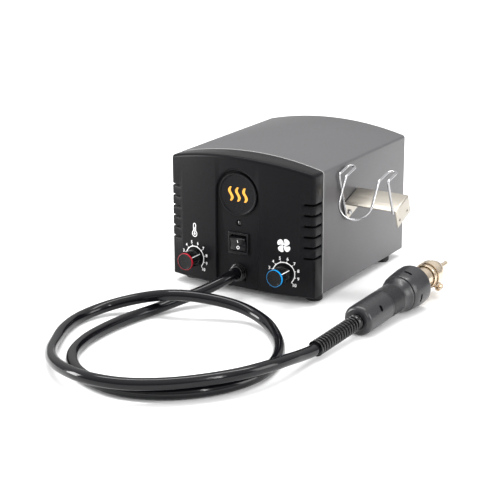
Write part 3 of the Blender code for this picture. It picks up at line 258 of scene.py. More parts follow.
def add_box(bm, low, high, place=Matrix()):
    (x0, y0, z0), (x1, y1, z1) = low, high
    rings = [[(x0, y0, z), (x1, y0, z), (x1, y1, z), (x0, y1, z)] for z in (z0, z1)]
    add_loft(bm, rings, place)


def add_prism(bm, outline, y0, y1, place=Matrix()):
    add_loft(bm, [[(x, y, z) for x, z in outline] for y in (y0, y1)], place)


def arc(radius, start, end, steps, centre=(0, 0)):
    turns = [start + (end - start) * i / steps for i in range(steps + 1)]
    return [(centre[0] + radius * math.cos(t), centre[1] + radius * math.sin(t)) for t in turns]


def quarter(steps, first=0):
    """The angles of a quarter turn in even steps."""
    return [math.pi / 2 * k / steps for k in range(first, steps + 1)]


def rounded_rectangle(size, radius, centre=(0, 0), steps=5):
    half_x, half_z = size[0] / 2 - radius, size[1] / 2 - radius
    outline = []
    for turn, (sx, sz) in enumerate(((1, 1), (-1, 1), (-1, -1), (1, -1))):
        start = turn * math.pi / 2
        corner = (centre[0] + sx * half_x, centre[1] + sz * half_z)
        outline += arc(radius, start, start + math.pi / 2, steps, corner)
    return outline


def soften(profile, radius=0.4, steps=3):
    """Rounds the corners of a turned profile. A profile off the axis is a closed loop."""
    points = [Vector(p) for p in profile]
    closed = profile[0][0] > 0
    made = []
    for i, corner in enumerate(points):
        if not closed and i in (0, len(points) - 1):
            made.append(corner)
            continue
        before, after = points[i - 1] - corner, points[(i + 1) % len(points)] - corner
        reach = min(radius, before.length * 0.45, after.length * 0.45)
        if before.angle(after) > math.radians(172):
            made.append(corner)
            continue
        start, end = corner + before.normalized() * reach, corner + after.normalized() * reach
        for k in range(steps + 1):
            t = k / steps
            made.append(start * (1 - t) ** 2 + corner * (2 * t * (1 - t)) + end * t ** 2)
    return [(p.x, p.y) for p in made]


def add_turned(bm, profile, segments=64, place=Matrix()):
    """Turns (radius, y) pairs about Y. Radius 0 at both ends closes the shape, else it is a ring."""
    step = 2 * math.pi / segments
    levels = []
    for radius, y in profile:
        points = [(0, y, 0)]
        if radius > 0:
            turns = [i * step for i in range(segments)]
            points = [(radius * math.cos(t), y, radius * math.sin(t)) for t in turns]
        levels.append([bm.verts.new(place @ Vector(point)) for point in points])
    pairs = list(zip(levels, levels[1:]))
    if profile[0][0] > 0:
        pairs.append((levels[-1], levels[0]))
    for lower, upper in pairs:
        for i in range(segments):
            j = (i + 1) % segments
            if len(lower) == 1:
                bm.faces.new((lower[0], upper[i], upper[j]))
            elif len(upper) == 1:
                bm.faces.new((lower[i], lower[j], upper[0]))
            else:
                bm.faces.new((lower[i], lower[j], upper[j], upper[i]))


def add_rod(bm, radius, y0, y1, segments=32, place=Matrix()):
    add_turned(bm, [(0, y0), (radius, y0), (radius, y1), (0, y1)], segments, place)


def add_tube(bm, points, radius, sides):
    """A round tube along points, with a frame that doesn't twist."""
    points = [Vector(p) for p in points]
    way = (points[1] - points[0]).normalized()
    side = way.cross(Vector((0, 0, 1)))
    if side.length < 0.1:
        side = way.cross(Vector((0, 1, 0)))
    side.normalize()
    rings = []
    for i, point in enumerate(points):
        new_way = (points[min(i + 1, len(points) - 1)] - points[max(i - 1, 0)]).normalized()
        side = (way.rotation_difference(new_way) @ side).normalized()
        way = new_way
        other = way.cross(side)
        turns = [2 * math.pi * k / sides for k in range(sides)]
        rings.append([point + (side * math.cos(t) + other * math.sin(t)) * radius for t in turns])
    add_loft(bm, rings)


def smooth_path(route, spacing):
    """Reads a centripetal Catmull-Rom curve through the route at an even spacing."""
    points = [Vector(point) for point in route]
    points = [2 * points[0] - points[1]] + points + [2 * points[-1] - points[-2]]
    fine = []
    for p0, p1, p2, p3 in zip(points, points[1:], points[2:], points[3:]):
        t1 = math.sqrt((p1 - p0).length)
        t2 = t1 + math.sqrt((p2 - p1).length)
        t3 = t2 + math.sqrt((p3 - p2).length)
        for i in range(24):
            t = t1 + (t2 - t1) * i / 24
            a1 = p0 * ((t1 - t) / t1) + p1 * (t / t1)
            a2 = p1 * ((t2 - t) / (t2 - t1)) + p2 * ((t - t1) / (t2 - t1))
            a3 = p2 * ((t3 - t) / (t3 - t2)) + p3 * ((t - t2) / (t3 - t2))
            b1 = a1 * ((t2 - t) / t2) + a2 * (t / t2)
            b2 = a2 * ((t3 - t) / (t3 - t1)) + a3 * ((t - t1) / (t3 - t1))
            fine.append(b1 * ((t2 - t) / (t2 - t1)) + b2 * ((t - t1) / (t2 - t1)))
    fine.append(points[-2])
    total = sum((b - a).length for a, b in zip(fine, fine[1:]))
    count = round(total / spacing)
    even, walked = [fine[0]], 0.0
    for a, b in zip(fine, fine[1:]):
        step = (b - a).length
        while len(even) < count and walked + step >= total * len(even) / count:
            even.append(a.lerp(b, (total * len(even) / count - walked) / step))
        walked += step
    return even + [fine[-1]]


def raw(name, bm, material):
    """An object made of the bmesh, moved into the row's frame."""
    bmesh.ops.recalc_face_normals(bm, faces=bm.faces)
    bm.transform(TO_ROW)
    mesh = bpy.data.meshes.new(name)
    bm.to_mesh(mesh)
    bm.free()
    mesh.materials.append(material)
    made = bpy.data.objects.new(name, mesh)
    bpy.context.scene.collection.objects.link(made)
    return made


def settle(made):
    """Applies the object's modifiers."""
    graph = bpy.context.evaluated_depsgraph_get()
    mesh = bpy.data.meshes.new_from_object(made.evaluated_get(graph))
    made.modifiers.clear()
    made.data = mesh


def shape(made, bm, operation="DIFFERENCE"):
    """Cuts the bmesh's bodies out of the piece, or joins them to it."""
    tool = raw("tool", bm, made.data.materials[0])
    step = made.modifiers.new("shape", "BOOLEAN")
    step.operation = operation
    step.solver = "EXACT"
    step.object = tool
    settle(made)
    bpy.data.objects.remove(tool, do_unlink=True)


def bevel(made, width, angle=40, segments=2):
    step = made.modifiers.new("bevel", "BEVEL")
    step.width = width * MM
    step.segments = segments
    step.limit_method = "ANGLE"
    step.angle_limit = math.radians(angle)
    step.miter_outer = "MITER_ARC"
    settle(made)


def place(made, body, slot, nodes=(), crease=35):
    """Shades the piece, hangs it on its body and hides the CAD nodes it stands for."""
    made.data.shade_smooth()
    made.data.set_sharp_from_angle(angle=math.radians(crease))
    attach(made, body)
    if nodes:
        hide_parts(*nodes)
    return made


# ---------------------------------------------------------------- hose route and handpiece frame

BARREL_RADIUS, COLLAR_RADIUS = 13.4, 18.4
REAR_CONTACT, FRONT_CONTACT = 5, 91
PITCH = math.atan((COLLAR_RADIUS - BARREL_RADIUS) / (FRONT_CONTACT - REAR_CONTACT))
YAW = math.radians(-3.2)
BOOT_LENGTH, BOOT_RADIUS, BOOT_RIB_PITCH = 64, 7, 3.9
HOSE_RADIUS, HOSE_SIDES = 5, 28
# How far from the handpiece's end of the hose, in metres, its bend starts and is complete.
BEND_START, BEND_END = 0.26, 0.014
BUSHING_Z = 14.5


def handpiece_frame():
    rear_z = BARREL_RADIUS * math.cos(PITCH) - REAR_CONTACT * math.sin(PITCH) + GROUND
    turn = Matrix.Rotation(YAW, 4, "Z") @ Matrix.Rotation(PITCH, 4, "X")
    return Matrix.Translation((141.7, -62.5, rear_z)) @ turn


HANDPIECE = handpiece_frame()

# The hose's middle line, from the bushing to the boot.
ROUTE = [
    (0, -29, 14.5), (-3, -41, 12), (-9.5, -55.5, 7.8), (-16.5, -67.5, 4.5), (-25, -81, 1.3),
    (-35, -109, -1.5), (-41, -138, -1.7), (-43, -168, -1.7), (-40.5, -198, -1.7), (-30, -228, -1.7),
    (-10, -251, -1.7), (16, -265, -1.7), (45, -270, -1.7), (75, -261.5, -1.7), (99.5, -243, -1.7),
    (116, -218, -1.7), (123, -189, -1.7), (119, -159, -1.7), (107.5, -132, -1.7), (89, -106.5, -1.7),
    (67, -88, 1), (39, -81, 6), (10, -91.5, 12.3), (-17.5, -102.5, 13.6), (-47, -108, 7.3),
    (-70, -125, 1), (-78.5, -154, -1.7), (-73, -183.5, -1.7), (-61.5, -210, -1.7), (-46, -236, 1),
    (-25, -259.5, 4.4), (0, -276, 7.3), (28, -285, 9.3), (58, -280.5, 9.3), (84, -264, 8.8),
    (105, -243.5, 9), (123, -220, 9.6), (133.8, -192, 8.9), (137.3, -166, 6.6), (137.2, -150, 4),
]


def spread_bend(hose, path, length):
    """Makes the bend follow the hose's length, as its loops pass any straight line more than once."""
    share = hose.data.attributes["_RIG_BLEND"]
    left = length
    for i, point in enumerate(path):
        if i:
            left -= (point - path[i - 1]).length
        t = min(max((BEND_START - left) / (BEND_START - BEND_END), 0), 1)
        for k in range(HOSE_SIDES):
            share.data[i * HOSE_SIDES + k].value = t * t * (3 - 2 * t)


def build_hose():
    mouth = Vector((0, -21.5, BUSHING_Z))
    nose, end = [HANDPIECE @ Vector((0, -BOOT_LENGTH - s, 0)) for s in (6, -1)]
    low = GROUND + HOSE_RADIUS + 0.05
    path = [Vector((p.x, p.y, max(p.z, low))) for p in smooth_path(ROUTE + [nose], 4)]
    path = [mouth, Vector((0, -25.2, BUSHING_Z))] + path + [end]
    bm = bmesh.new()
    add_tube(bm, path, HOSE_RADIUS, HOSE_SIDES)
    hose = raw("hose_tube", bm, HOSE)
    hose.data.shade_smooth()
    hose.data.set_sharp_from_angle(angle=math.radians(50))
    row_path = [TO_ROW @ p for p in path]
    length = sum((b - a).length for a, b in zip(row_path, row_path[1:]))
    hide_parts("hose")
    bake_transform(hose, "station", "handpiece", start=row_point(134, -192, 0), end=row_point(138, -130, 0))
    spread_bend(hose, row_path, length)
    return hose, row_path, length


def build_boot():
    """The strain relief: a plain collar at each end and rounded ribs between, with deep gaps."""
    root = BOOT_RADIUS - 1.9
    profile = [(0, -BOOT_LENGTH), (BOOT_RADIUS, -BOOT_LENGTH), (BOOT_RADIUS, -BOOT_LENGTH + 1.8),
               (root, -BOOT_LENGTH + 1.9)]
    y = -BOOT_LENGTH + 3.6
    while y < -4:
        profile += [(root, y), (BOOT_RADIUS - 1, y + 0.05), (BOOT_RADIUS - 0.3, y + 0.35),
                    (BOOT_RADIUS, y + 1.05), (BOOT_RADIUS - 0.3, y + 1.75), (BOOT_RADIUS - 1, y + 2.05),
                    (root, y + 2.1)]
        y += BOOT_RIB_PITCH
    profile += [(BOOT_RADIUS - 1.2, -1.2), (BOOT_RADIUS - 0.2, -1), (BOOT_RADIUS - 0.2, 2.5), (0, 2.5)]
    bm = bmesh.new()
    add_turned(bm, soften(profile, 0.5), 48, HANDPIECE)
    made = raw("strain_relief_boot", bm, RUBBER)
    return place(made, "handpiece", "black_rubber", ["strain_relief"])


build_camera()
hose, hose_path, hose_length = build_hose()
boot = build_boot()

# ---------------------------------------------------------------- cover and bezel

HALF_WIDTH = 75
ARCH_TOP, ARCH_RADIUS = 122.7, 304
ARCH_CENTRE_Z = ARCH_TOP - ARCH_RADIUS
COVER_LENGTH, SHEET, COVER_FLANGE = 161, 1.2, 14
CHANNEL_HALF, CHANNEL_Y = 22, -20.6
BADGE_Z, BADGE_RADIUS = 87.5, 19.7
LED_Z, ROCKER_Z = 60.5, 41.8
DIAL_X, DIAL_Z = 47.15, 21.2
BULB_Z, FAN_Z = 43.8, 47.2
FOOT_PLACES = [(x, y) for y in (3.2, 136) for x in (-64.8, 64.8)]
PEG = (30, 5.6)
VENT_ROWS = [86 - 9.8 * i for i in range(6)]
VENT_HALF = 0.9


def hood_columns(half_width, radius, corner, arch_steps=56, corner_steps=7):
    reach = half_width - corner
    corner_z = ARCH_CENTRE_Z + math.sqrt((radius - corner) ** 2 - reach ** 2)
    tilt = math.asin(reach / (radius - corner))
    right = arc(corner, math.pi / 2 - tilt, 0, corner_steps, (reach, corner_z))
    left = [(-x, z) for x, z in right[::-1]]
    middle = arc(radius, math.pi / 2 + tilt, math.pi / 2 - tilt, arch_steps, (0, ARCH_CENTRE_Z))
    return left + middle[1:-1] + right


def front_y(x):
    """The bowed front of the bezel."""
    return -16.3 - 8.5 * (1 - (x / HALF_WIDTH) ** 2)


def add_bezel_body(bm, inset, rounding, depth, rear, steps):
    """A body inside the bezel's outline. Each pair of rear is a shrink and its y."""
    rings = []
    for i in range(-len(rear), steps + 1):
        turn = math.pi / 2 * max(i, 0) / steps
        shrink = inset + rounding * (1 - math.cos(turn))
        back = depth + rounding * (1 - math.sin(turn))
        if i < 0:
            shrink += rear[i][0]
        tops = hood_columns(HALF_WIDTH - shrink, ARCH_RADIUS - shrink, max(4 - shrink, 0.6))
        outline = tops + [(x, shrink) for x, _ in tops[::-1]]
        rings.append([(x, rear[i][1] if i < 0 else front_y(x) + back, z) for x, z in outline])
    levels = add_loft(bm, rings, caps=False)
    bm.faces.new(levels[0])
    face, count = levels[-1], len(rings[0])
    for i in range(count // 2 - 1):
        bm.faces.new((face[i], face[i + 1], face[count - 2 - i], face[count - 1 - i]))


def slot_outline(half, top_z, low_z=-2):
    return [(half, low_z)] + arc(half, 0, math.pi, 40, (0, top_z)) + [(-half, low_z)]


def build_cover():
    flange_x, inner_x = HALF_WIDTH - COVER_FLANGE, HALF_WIDTH - SHEET
    outer = hood_columns(HALF_WIDTH, ARCH_RADIUS, 3)
    inner = hood_columns(inner_x, ARCH_RADIUS - SHEET, 3 - SHEET)
    fold = arc(1.6, math.pi, 1.5 * math.pi, 4, (-HALF_WIDTH + 1.6, 1.6))
    fold_in = arc(0.4, math.pi, 1.5 * math.pi, 4, (-inner_x + 0.4, SHEET + 0.4))
    outer = [(-flange_x, 0)] + fold[::-1] + outer + [(-x, z) for x, z in fold] + [(flange_x, 0)]
    inner = ([(-flange_x, SHEET)] + fold_in[::-1] + inner + [(-x, z) for x, z in fold_in]
             + [(flange_x, SHEET)])
    bm = bmesh.new()
    rows = []
    for outline, y in ((outer, 0), (outer, COVER_LENGTH), (inner, COVER_LENGTH), (inner, 0)):
        rows.append([bm.verts.new((x, y, z)) for x, z in outline])
    for row, following in zip(rows, rows[1:] + rows[:1]):
        for i in range(len(outer) - 1):
            bm.faces.new((row[i], row[i + 1], following[i + 1], following[i]))
    for end in (0, -1):
        bm.faces.new([row[end] for row in rows])
    cover = raw("sheet_cover", bm, PAINT)
    bevel(cover, 0.5, 60, 3)
    # The bevel faces along the cover's front edge take the lighter grey, a painted highlight along the seam.
    cover.data.materials.append(PAINTED_HIGHLIGHT_HEM)
    seam_y = row_point(0, 0.52, 0).y
    for face in cover.data.polygons:
        if face.center.y < seam_y and face.normal.y < -0.1:
            face.material_index = 1
    holes = bmesh.new()
    for x, y in FOOT_PLACES:
        add_rod(holes, 2.5, -1, 2.2, 24, Matrix.Translation((x, y, 0)) @ UPRIGHT)
    for along in BRACKET_HOLES:
        add_rod(holes, 1.8, -2, 6, 24, bracket_screw_place(along))
    shape(cover, holes)
    place(cover, "station", "grey_paint", ["cover"])


def add_vent_lip(bm, z, side):
    """A shallow groove with rounded lips that runs over a vent, round the bezel's corner."""
    path = []
    for x, size in ((62.8, 0.15), (63.8, 0.5), (64.8, 0.85), (66, 1), (68, 1), (70, 1), (71.8, 1)):
        slope = 17 * x / HALF_WIDTH ** 2
        path.append(((x, front_y(x)), Vector((slope, -1)).normalized(), size))
    for turn in (75, 60, 45, 30, 15, 0):
        t = math.radians(turn)
        x = HALF_WIDTH - 3 * (1 - math.cos(t))
        path.append(((x, front_y(x) + 3 * (1 - math.sin(t))), Vector((math.cos(t), -math.sin(t))), 1))
    for y, size in ((-11, 1), (-7, 1), (-3.4, 1), (-2.4, 0.3)):
        path.append(((HALF_WIDTH, y), Vector((1, 0)), size))
    section = [(0.5, 1.55), (0, 1.55), (-0.12, 1.25), (-0.32, 1.03), (-0.6, 0.92)]
    section += [(out, -half) for out, half in section[::-1]]
    rings = []
    for (x, y), normal, size in path:
        ring = []
        for out, half in section:
            reach = out if out > 0 else out * size
            ring.append((side * (x + normal.x * reach), y + normal.y * reach, z + half * size))
        rings.append(ring)
    add_loft(bm, rings)


def build_bezel():
    bm = bmesh.new()
    seam = [(0.9, -GAP), (0.9, -1.15), (0.45, -1.2), (0.12, -1.35), (0, -1.6)]
    add_bezel_body(bm, 0, 3, 0, seam, 9)
    bezel = raw("front_panel", bm, MOULDED)
    bm = bmesh.new()
    add_bezel_body(bm, 2.5, 1, 6.5, [(0, 1)], 2)
    shape(bezel, bm)
    bm = bmesh.new()
    for x in (-PEG[0], PEG[0]):
        add_rod(bm, 2.2, -19, 4, 24, Matrix.Translation((x, 0, PEG[1])))
    shape(bezel, bm, "UNION")
    bm = bmesh.new()
    flare = [(-40, 2.6), (-24.8, 2.6)]
    flare += [(-22.2 - 2.1 * math.cos(t), 2.1 - 2.1 * math.sin(t)) for t in quarter(6)]
    flare += [(-21.4, 0), (-21, -0.15), (CHANNEL_Y - 0.15, -0.5), (CHANNEL_Y, -1)]
    rings = [[(x, y, z) for x, z in slot_outline(CHANNEL_HALF + more, BADGE_Z)] for y, more in flare]
    add_loft(bm, rings)
    shape(bezel, bm)
    bm = bmesh.new()
    badge_place, lamp_place = [Matrix.Translation((0, 0, z)) for z in (BADGE_Z, LED_Z)]
    add_rod(bm, BADGE_RADIUS + GAP, CHANNEL_Y - 1, CHANNEL_Y + 1, 96, badge_place)
    lamp_hole = [(0, -30), (3.1, -30), (3.1, CHANNEL_Y), (2.6, CHANNEL_Y + 0.5), (2.6, -10), (0, -10)]
    add_turned(bm, lamp_hole, 32, lamp_place)
    add_prism(bm, rounded_rectangle((19.6, 18.6), 0.6, (0, ROCKER_Z)), -30, -10)
    add_prism(bm, slot_outline(7.3, BUSHING_Z), -30, -15)
    for x in (-DIAL_X, DIAL_X):
        add_rod(bm, 4.8, -30, -10, 32, Matrix.Translation((x, 0, DIAL_Z)))
    for z in VENT_ROWS:
        for side in (-1, 1):
            end = arc(VENT_HALF, math.pi / 2, 1.5 * math.pi, 6, (65.9, z))
            outline = [(80, z + VENT_HALF)] + end + [(80, z - VENT_HALF)]
            outline = [(side * x, h) for x, h in outline]
            add_prism(bm, outline, -30, -3)
    shape(bezel, bm)
    bm = bmesh.new()
    for z in VENT_ROWS:
        for side in (-1, 1):
            add_vent_lip(bm, z, side)
    shape(bezel, bm)
    place(bezel, "station", "black_plastic", ["front_bezel"], 32)


# ---------------------------------------------------------------- panel details


def build_badge():
    bm = bmesh.new()
    face_y, rim_y = CHANNEL_Y - 1.3, CHANNEL_Y - 2.1
    profile = [(0, CHANNEL_Y + 0.7), (BADGE_RADIUS, CHANNEL_Y + 0.7), (BADGE_RADIUS, rim_y),
               (18.2, rim_y), (17.7, face_y), (0, face_y)]
    add_turned(bm, soften(profile, 0.45), 128, Matrix.Translation((0, 0, BADGE_Z)))
    place(raw("badge", bm, BADGE), "station", "black_plastic", ["badge_disc"])
    bm = bmesh.new()
    for middle in (-7.4, 0, 7.4):
        left, right = [], []
        for i in range(25):
            t = i / 24
            z = BADGE_Z - 6.5 + 13 * t
            x = middle + 1.5 * math.sin(2 * math.pi * t)
            half = 1.55 * math.sin(math.pi * (0.12 + 0.76 * t)) ** 0.5
            left.append((x - half, z))
            right.append((x + half, z))
        add_prism(bm, right + left[::-1], face_y - 0.12, face_y + 0.1)
    place(raw("badge_mark", bm, ORANGE), "station", "black_plastic")


def build_lamp():
    bm = bmesh.new()
    profile = [(0, -12), (2.2, -12), (2.2, -19)]
    profile += [(2.2 * math.cos(t), -19 - 1.3 * math.sin(t)) for t in quarter(6, 1)[:-1]]
    profile.append((0, -20.3))
    add_turned(bm, profile, 40, Matrix.Translation((0, 0, LED_Z)))
    place(raw("lamp_lens_cap", bm, LENS), "station", "smoked_lens", ["led_lens"])


def paddle_face(z):
    """The dished front of the switch's paddle, in the paddle's own frame."""
    return -4.9 - 1.3 * abs(z / 5.6) ** 1.6


def build_rocker():
    flange_y = CHANNEL_Y - GAP
    centre = (0, ROCKER_Z)
    levels = [((19, 18), 0.5, 1), ((19, 18), 0.5, flange_y), ((21.5, 20.5), 0.9, flange_y),
              ((21.5, 20.5), 0.9, flange_y - 0.9), ((21.1, 20.1), 0.8, flange_y - 1.3),
              ((20.5, 19.5), 0.7, flange_y - 1.5)]
    bm = bmesh.new()
    rings = []
    for size, radius, y in levels:
        rings.append([(x, y, z) for x, z in rounded_rectangle(size, radius, centre)])
    add_loft(bm, rings)
    housing = raw("switch_housing", bm, SWITCH)
    bm = bmesh.new()
    wide = [((18.4, 16.8), -30), ((18.4, 16.8), flange_y - 1.45), ((16.4, 14.4), flange_y - 0.3),
            ((16.4, 14.4), -6)]
    add_loft(bm, [[(x, y, z) for x, z in rounded_rectangle(size, 0.5, centre)] for size, y in wide])
    shape(housing, bm)
    axis = Matrix.Translation((0, -17.2, ROCKER_Z))
    bm = bmesh.new()
    add_rod(bm, 1.3, -12, 12, 24, axis @ SIDEWAYS)
    shape(housing, bm)
    place(housing, "station", "black_plastic", ["rocker_housing"])

    tilt = axis @ Matrix.Rotation(math.radians(8), 4, "X")
    half_x = 7.9
    face = []
    for i in range(17):
        z = 5.6 - 11.2 * i / 16
        face.append((paddle_face(z), z))
    outline = [(-4.5, 6.3)] + face + [(-4.5, -6.3), (0, -6.7), (3, -5.5), (3, 5.5), (0, 6.7)]
    bm = bmesh.new()
    add_loft(bm, [[(x, y, z) for y, z in outline] for x in (-half_x, half_x)], tilt)
    paddle = raw("switch_paddle", bm, SWITCH)
    bevel(paddle, 0.35, 50)
    bm = bmesh.new()
    add_rod(bm, 1.3, -12, 12, 24, tilt @ SIDEWAYS)
    shape(paddle, bm)
    place(paddle, "rocker", "black_plastic", ["rocker_paddle"])

    bm = bmesh.new()
    ring = [(x, z - 3) for x, z in arc(1.55, 0, 2 * math.pi, 28)[:-1]]
    hole = [(x, z - 3) for x, z in arc(1.05, 0, 2 * math.pi, 28)[:-1]]
    rows = []
    for outline, lift in ((ring, 0.2), (ring, -0.08), (hole, -0.08), (hole, 0.2)):
        rows.append([bm.verts.new(tilt @ Vector((x, paddle_face(z) + lift, z))) for x, z in outline])
    for row, following in zip(rows, rows[1:] + rows[:1]):
        for i in range(28):
            j = (i + 1) % 28
            bm.faces.new((row[i], row[j], following[j], following[i]))
    bar = [(-0.28, 1.6), (0.28, 1.6), (0.28, 4.4), (-0.28, 4.4)]
    add_loft(bm, [[(x, paddle_face(z) + lift, z) for x, z in bar] for lift in (0.25, -0.1)], tilt)
    place(raw("switch_marks", bm, WHITE), "rocker", "black_plastic")


def text_points(text, size):
    """The mesh of a built-in font's text, centred on the origin, as points and faces."""
    curve = bpy.data.curves.new("text", "FONT")
    curve.body = text
    curve.size = size
    curve.align_x, curve.align_y = "CENTER", "CENTER"
    curve.extrude = 0.09
    curve.offset = 0.05
    curve.resolution_u = 4
    holder = bpy.data.objects.new("text", curve)
    bpy.context.scene.collection.objects.link(holder)
    graph = bpy.context.evaluated_depsgraph_get()
    mesh = bpy.data.meshes.new_from_object(holder.evaluated_get(graph))
    points = [v.co.copy() for v in mesh.vertices]
    faces = [tuple(p.vertices) for p in mesh.polygons]
    bpy.data.objects.remove(holder, do_unlink=True)
    bpy.data.meshes.remove(mesh)
    return points, faces


def add_print(bm, outline):
    """A printed area on the bezel's face, as a skin 0.07 mm proud."""
    add_loft(bm, [[(x, front_y(x) + lift, z) for x, z in outline] for lift in (0.12, -0.07)])


def add_print_ring(bm, outer, inner, closed=True):
    """A printed line between two outlines of the same count."""
    rows = []
    for outline, lift in ((outer, 0.12), (outer, -0.07), (inner, -0.07), (inner, 0.12)):
        rows.append([bm.verts.new((x, front_y(x) + lift, z)) for x, z in outline])
    count = len(outer)
    for row, following in zip(rows, rows[1:] + rows[:1]):
        for i in range(count if closed else count - 1):
            j = (i + 1) % count
            bm.faces.new((row[i], row[j], following[j], following[i]))
    if not closed:
        for end in (0, -1):
            bm.faces.new([row[end] for row in rows])


def build_print():
    bm = bmesh.new()
    for dial_x in (-DIAL_X, DIAL_X):
        start, end = math.radians(90 + 135), math.radians(90 - 135)
        middle = (dial_x, DIAL_Z)
        outer, inner = [arc(radius, start, end, 60, middle) for radius in (10.85, 10.05)]
        add_print_ring(bm, outer, inner, False)
        for n in range(1, 11):
            turn = math.radians(90 - (n - 5.5) * 30)
            way = Vector((math.cos(turn), math.sin(turn)))
            across = Vector((-math.sin(turn), math.cos(turn)))
            tick = ((10.6, -0.3), (11.9, -0.3), (11.9, 0.3), (10.6, 0.3))
            corners = [way * r + across * s for r, s in tick]
            add_print(bm, [(dial_x + c.x, DIAL_Z + c.y) for c in corners])
            points, faces = text_points(str(n), 4.1)
            at = Vector((dial_x, DIAL_Z)) + way * 14.2
            made = [bm.verts.new((at.x + p.x, front_y(at.x + p.x) - p.z, at.y + p.y)) for p in points]
            for face in faces:
                bm.faces.new([made[i] for i in face])
    bulb, stem, line = 3.1, 1.7, 0.75
    outer = thermometer_outline(bulb, stem, 53.9)
    inner = thermometer_outline(bulb - line, stem - line, 53.15)
    add_print_ring(bm, outer, inner)
    add_print(bm, arc(1.15, 0, 2 * math.pi, 24, (-DIAL_X, BULB_Z))[:-1])
    thread = ((-0.3, 44.6), (0.3, 44.6), (0.3, 50), (-0.3, 50))
    add_print(bm, [(-DIAL_X + x, z) for x, z in thread])
    for turn in range(4):
        spin = turn * math.pi / 2 - math.radians(18)
        blade = [(r, math.radians(12 + 30 * (r / 6) ** 1.4)) for r in (0.8, 1.6, 2.6, 3.6, 4.6, 5.5, 6)]
        blade += [(6.5, math.radians(52)), (6.75, math.radians(65)), (6.7, math.radians(80)),
                  (6.4, math.radians(92)), (5.9, math.radians(102)), (5.2, math.radians(107))]
        blade += [(r, math.radians(84 + 30 * (r / 6) ** 1.4)) for r in (4.6, 3.6, 2.6, 1.6, 0.8)]
        outline = [(DIAL_X + r * math.cos(a + spin), FAN_Z + r * math.sin(a + spin)) for r, a in blade]
        add_print(bm, outline)
    place(raw("panel_print", bm, WHITE), "station", "black_plastic", crease=60)


def thermometer_outline(bulb, stem, top_z):
    join = math.asin(stem / bulb)
    around = arc(bulb, math.pi / 2 - join, -1.5 * math.pi + join, 28, (-DIAL_X, BULB_Z))
    cap = arc(stem, math.pi, 0, 12, (-DIAL_X, top_z - stem))
    return around + cap


def build_dial(name, x, body, ring_material, ring_slot):
    axis = Matrix.Translation((x, 0, DIAL_Z))
    back, front = -22.9, -38.4
    ring_y = front + 2
    bm = bmesh.new()
    profile = [(0, front + 0.25), (6.1, front + 0.25), (6.3, front), (7.4, front), (7.45, ring_y),
               (7.8, ring_y), (7.8, back), (6.8, back), (6.8, back - 4.6), (3.3, back - 4.6),
               (3.3, front + 4.4), (0, front + 4.4)]
    add_turned(bm, soften(profile, 0.25), 72, axis)
    knob = raw(f"{name}_knob_body", bm, KNOB)
    place(knob, body, "black_plastic", [f"{name}_knob"])
    bm = bmesh.new()
    profile = [(7.5, ring_y - 0.1), (7.8, ring_y - 0.1), (7.8, front + 0.2), (7.68, front + 0.08),
               (7.5, front + 0.08)]
    add_turned(bm, profile, 72, axis)
    place(raw(f"{name}_colour_ring", bm, ring_material), body, ring_slot, [f"{name}_ring"])
    pointer = math.radians(90 - 57)
    bm = bmesh.new()
    turns = [pointer + math.radians(k) for k in (-2.6, -1.3, 0, 1.3, 2.6)]
    rings = []
    for y in (ring_y + 0.2, back - 0.2):
        inner = [(7.6 * math.cos(t), y, 7.6 * math.sin(t)) for t in turns]
        outer = [(7.87 * math.cos(t), y, 7.87 * math.sin(t)) for t in turns]
        rings.append(inner + outer[::-1])
    add_loft(bm, rings, axis)
    place(raw(f"{name}_pointer", bm, WHITE), body, "black_plastic")


def build_bushing():
    floor_y = CHANNEL_Y - GAP
    profile = [(5.3, -15), (8.2, -15), (8.2, -17), (7, -17), (7, floor_y), (8.2, floor_y),
               (8.2, floor_y - 1.3), (6.4, floor_y - 1.5), (6.4, floor_y - 2.1), (7.7, floor_y - 2.3),
               (7.7, floor_y - 3.5), (6.2, floor_y - 3.7), (6.2, floor_y - 4.3), (7.2, floor_y - 4.5),
               (7.2, -26.6), (6.6, -27), (5.3, -27)]
    bm = bmesh.new()
    add_turned(bm, soften(profile, 0.3), 64, Matrix.Translation((0, 0, BUSHING_Z)))
    place(raw("ribbed_bushing", bm, RUBBER), "station", "black_rubber", ["hose_bushing"])


# ---------------------------------------------------------------- feet, bracket and wire

BRACKET_WIDTH, BRACKET_LENGTH, BRACKET_FLANGE = 52.5, 27, 17.5
BRACKET_CORNER = (HALF_WIDTH + GAP, 36.5, 76)
BRACKET_TILT = math.radians(20)
BRACKET_HOLES = (5.3, 20.5)
BRACKET_HOLE_DROP = 12.5
WIRE_RADIUS, CRADLE_X, POST_OFFSET, SADDLE_RADIUS = 1.1, 101.2, 24.2, 16.2
BRACKET = Matrix.Translation(BRACKET_CORNER) @ Matrix.Rotation(BRACKET_TILT, 4, "X")


def bracket_screw_place(along):
    return BRACKET @ Matrix.Translation((SHEET + GAP, along, -BRACKET_HOLE_DROP)) @ SIDEWAYS.inverted()


def build_feet():
    for (x, y), name in zip(FOOT_PLACES, ("front_left", "front_right", "rear_left", "rear_right")):
        bm = bmesh.new()
        profile = [(0, -5), (2.8, -5), (3.5, -7), (6.5, -7), (7.5, -6), (7.5, -GAP), (2.2, -GAP),
                   (2.2, 4.4), (1.4, 5.5), (0, 5.5)]
        add_turned(bm, soften(profile, 0.5), 48, Matrix.Translation((x, y, 0)) @ UPRIGHT)
        place(raw(f"rubber_foot_{name}", bm, FOOT), "station", "black_rubber", [f"foot_{name}"])


def cross_outline(arm, half):
    """One outline for the whole cross slot. A cutter of two crossing boxes leaves an empty mesh."""
    outline = []
    for c, s in ((1, 0), (0, 1), (-1, 0), (0, -1)):
        for x, z in ((arm, -half), (arm, half), (half, half)):
            outline.append((x * c - z * s, x * s + z * c))
    return outline


